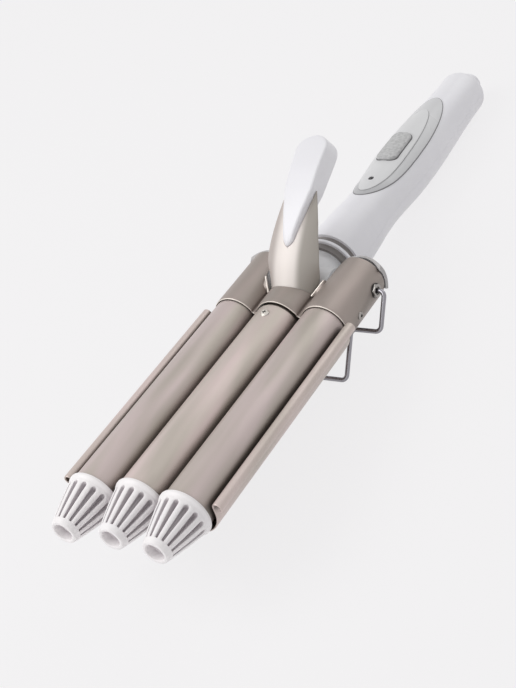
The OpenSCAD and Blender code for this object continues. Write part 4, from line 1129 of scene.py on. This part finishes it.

# %% [markdown]
# ## Rings at the handle's front
# Two dark spacers leave a narrow pale ring between them; their dark grey is partly their
# own and partly painted shade of the grooves. All three are turned profiles about the
# handle's axis, with rounded edges. The spacers are waisted, so that they lie in the shade
# of the ring and the handle.

# %% Rings
HANDLE_Z, NECK_REAR, GAP_W, RING_W = -2.3, 15.5, 3.8, 2.0
HANDLE_FRONT = NECK_REAR + 2 * GAP_W + RING_W
HANDLE_FRONT_R, HANDLE_LEN, SPIGOT_R = 17.4, 177.0, 14.25


def band_profile(inner, outer, y0, y1, waist=0.0, edge=0.4):
    """Closed section of a ring: inside, rounded corners, outside sunk by waist."""
    t = np.linspace(0, 1, 9)[1:-1]
    face = np.stack([outer - waist * (1 - (2 * t - 1) ** 4),
                     y0 + edge + (y1 - y0 - 2 * edge) * t], axis=1)
    return np.concatenate([[[inner, y0]], rim(outer - edge, y0 + edge, edge, -90, 0), face,
                           rim(outer - edge, y1 - edge, edge, 0, 90), [[inner, y1]]])


spacers = [turned(band_profile(SPIGOT_R, HANDLE_FRONT_R - 1.5, y + 0.02, y + GAP_W - 0.02,
                               0.7, 0.15), z=HANDLE_Z)
           for y in (NECK_REAR, HANDLE_FRONT - GAP_W)]
make_piece("spacer_bands", spacers, "handle", "groove_grey", ["spacer_rings"])
make_piece("front_ring_band",
           [turned(band_profile(SPIGOT_R, HANDLE_FRONT_R - 0.1, NECK_REAR + GAP_W,
                                HANDLE_FRONT - GAP_W), z=HANDLE_Z)],
           "handle", "white_abs", ["front_ring"])

# %% [markdown]
# ## Seams of the inlay
# Where two mouldings meet there is a fine joint that gathers shade. The joints round the
# bezel and round the panel are pointed ovals, made of four superellipse quarters, laid on
# the handle's skin. The skin's radius along the handle is a table taken from the CAD model.

# %% Inlay measures
WAIST_R, BELLY_R, END_R = 14.9, 16.7, 13.8
INLAY_FRONT, INLAY_LEN, INLAY_W, PANEL_W = HANDLE_FRONT + 41, 102.0, 26.6, 19.0
INLAY_MID = INLAY_FRONT + INLAY_LEN * 0.47
PANEL_FRONT, PANEL_MID = INLAY_FRONT + 4, INLAY_MID - 6
PANEL_REAR = INLAY_FRONT + INLAY_LEN - 15
BUTTON_Y, BUTTON_W, BUTTON_LEN = INLAY_MID - 2.2, 12.6, 26.4
PANEL_TOP = 0.7


def handle_radius(y):
    """Radius of the handle's skin at y, by straight lines between the CAD's stations."""
    where = [0, .05, .1, .16, .22, .28, .34, .4, .46, .52, .58, .65, .74, .84, .92, 1]
    front, waist, belly, end = HANDLE_FRONT_R, WAIST_R, BELLY_R, END_R
    radius = [front, front - .12, front - .5, waist * .45 + front * .55, waist + .35, waist,
              waist + .25, waist * .45 + belly * .55, belly - .2, belly, belly - .08,
              belly - .4, belly * .55 + end * .45, end + .55, end + .1, end]
    return np.interp((y - HANDLE_FRONT) / HANDLE_LEN, where, radius)


def oval(mid, front, rear, half_width, power, count=160):
    """Superellipse |x/w|^p + |y/h|^p = 1 whose h differs ahead of and behind its middle."""
    a = full_turn(count)
    c, s = np.cos(a), np.sin(a)
    reach = np.where(c < 0, mid - front, rear - mid)
    return np.stack([half_width * np.sign(s) * np.abs(s) ** (2 / power),
                     mid + reach * np.sign(c) * np.abs(c) ** (2 / power)], axis=1)


def on_skin(plan, lift):
    """Plan points raised to the handle's skin: z = axis + sqrt((r + lift)^2 - x^2)."""
    r = handle_radius(plan[:, 1]) + lift
    z = HANDLE_Z + np.sqrt(np.maximum(r ** 2 - plan[:, 0] ** 2, 0))
    return np.column_stack([plan, z])


# %% Seams


def seam(name, plan, lift, radius, finish):
    """A bead half sunk in the skin along a closed line seen from above."""
    make_piece(name, bead_along(on_skin(plan, lift), radius, (0, 0, 1), True), "handle",
               finish)


outer = oval(INLAY_MID, INLAY_FRONT, INLAY_FRONT + INLAY_LEN, INLAY_W / 2 + 0.05, 2.15)
inner = oval(PANEL_MID, PANEL_FRONT, PANEL_REAR, PANEL_W / 2 + 0.1, 2.1)
seam("inlay_seam", outer, 0.05, 0.32, "seam_grey")
seam("panel_seam", inner, 0.33, 0.25, "soft_seam")

# %% [markdown]
# ## Power button
# A rounded oblong with soft upper edges and a finely textured, slightly crowned top. Its
# grid is a family of the same rounded outline: up the side, over the edge along a quarter
# circle, and shrinking to the middle. A dark joint lies round it.

# %% Button
BUTTON_SKIN = handle_radius(BUTTON_Y) + PANEL_TOP + 1.5


def button_outline(inset, count=96):
    """Rounded oblong: a circle's quarters moved out to the corners. Further in the corners
    turn sharp and their centres close in on the middle."""
    r = BUTTON_W * 0.34
    a = full_turn(count) + 0.01
    cx = np.sign(np.cos(a)) * (BUTTON_W / 2 - r)
    cy = np.sign(np.sin(a)) * (BUTTON_LEN / 2 - r)
    left_over = BUTTON_W / 2 - inset
    rr = max(r - inset, 0)
    return np.stack([cx * np.clip(left_over / (BUTTON_W / 2 - r), 0, 1) + rr * np.cos(a),
                     cy * min(4 * left_over / BUTTON_W, 1) + rr * np.sin(a)], axis=1)


def button_parts():
    """The outline at growing insets, each a drop below z = axis + sqrt(r^2 - x^2)."""
    edge = 0.8
    a = np.radians(np.linspace(0, 90, 6))
    insets = np.concatenate([[0, 0], edge * (1 - np.cos(a)), [1.6, 2.6, 3.4, 4.2, 6.29]])
    drops = np.concatenate([[5.4, 1.6], edge * (1 - np.sin(a)), [0, 0, 0, 0, 0]])
    rows = []
    for inset, drop in zip(insets, drops):
        plan = button_outline(inset)
        top = HANDLE_Z + np.sqrt(BUTTON_SKIN ** 2 - plan[:, 0] ** 2) - drop
        rows.append(np.column_stack([plan[:, 0], BUTTON_Y + plan[:, 1], top]))
    grid = np.stack(rows)
    caps = [np.broadcast_to(grid[i].mean(axis=0), grid[i].shape) for i in (0, -1)]
    grid = np.concatenate([caps[:1], grid, caps[1:]])
    return [(grid, grid_faces(*grid.shape[:2], wrap_cols=True))]


make_piece("power_button_cap", button_parts(), "button", "button_grey", ["power_button"])
seam("button_joint", button_outline(-0.2) + [0, BUTTON_Y], PANEL_TOP, 0.32, "dark_joint")

# %% [markdown]
# ## Floor, light and backdrop
# A plain pale floor and a plain pale world, lit by large soft lamps. Most of the floor's
# colour shines by itself towards the camera, so that it is as even as the photo's. The
# rest takes light like paper and holds the faint soft shadow.

# %% Floor and world
PALE = "#F3F2F3"
SELF_LIT = 0.90  # share of the floor's colour that takes no shadow
FLOOR_HALF = 6.0  # metres


def camera_like(tree):
    """1 for camera, glossy and transmission rays, 0 for the rest."""
    ray = add(tree, "ShaderNodeLightPath").outputs
    seen = ray["Is Camera Ray"]
    for kind in ("Is Glossy Ray", "Is Transmission Ray"):
        seen = add(tree, "ShaderNodeMath", links={0: seen, 1: ray[kind]},
                   operation="MAXIMUM").outputs[0]
    return seen


tree, output = new_material("paper_floor")
glow = add(tree, "ShaderNodeEmission", {"Color": linear(PALE), "Strength": 1.0})
paper = add(tree, "ShaderNodeBsdfDiffuse", {"Color": linear(PALE)})
share = add(tree, "ShaderNodeMath", {1: SELF_LIT}, {0: camera_like(tree)},
            operation="MULTIPLY")
blend = add(tree, "ShaderNodeMixShader",
            links={0: share.outputs[0], 1: paper.outputs[0], 2: glow.outputs[0]})
finish_with(tree, output, blend)

floor_data = bpy.data.meshes.new("floor")
floor_data.from_pydata([(x * FLOOR_HALF, y * FLOOR_HALF, 0) for x, y in (
    (-1, -1), (1, -1), (1, 1), (-1, 1))], [], [(0, 1, 2, 3)])
floor_data.materials.append(bpy.data.materials["paper_floor"])
floor = bpy.data.objects.new("floor", floor_data)
bpy.context.scene.collection.objects.link(floor)

world = bpy.data.worlds.new("studio")
bpy.context.scene.world = world
world.use_nodes = True
tree = world.node_tree
tree.nodes.clear()
output = add(tree, "ShaderNodeOutputWorld")
dome = add(tree, "ShaderNodeBackground", {"Color": linear("#FFFFFF"), "Strength": 0.50})
sky = add(tree, "ShaderNodeBackground", {"Color": linear(PALE), "Strength": 0.95})
both = add(tree, "ShaderNodeMixShader",
           links={0: camera_like(tree), 1: dome.outputs[0], 2: sky.outputs[0]})
tree.links.new(both.outputs[0], output.inputs["Surface"])

# %% Lamps


def soft_lamp(name, spot, size, watts):
    """A square area lamp of that size in metres at spot, aimed at the origin."""
    data = bpy.data.lights.new(name, "AREA")
    data.shape = "SQUARE"
    data.size = size
    data.energy = watts
    lamp = bpy.data.objects.new(name, data)
    aim = -Vector(spot)
    lamp.matrix_world = (Matrix.Translation(Vector(spot))
                         @ aim.to_track_quat("-Z", "Y").to_matrix().to_4x4())
    bpy.context.scene.collection.objects.link(lamp)


soft_lamp("key_lamp", (-0.6, -0.5, 1.0), 0.8, 7.5)
soft_lamp("fill_lamp", (0.3, -1.1, 0.6), 0.9, 1.4)
soft_lamp("back_lamp", (0.2, 1.0, 0.7), 0.8, 2.0)
bpy.context.scene.view_settings.view_transform = "Standard"
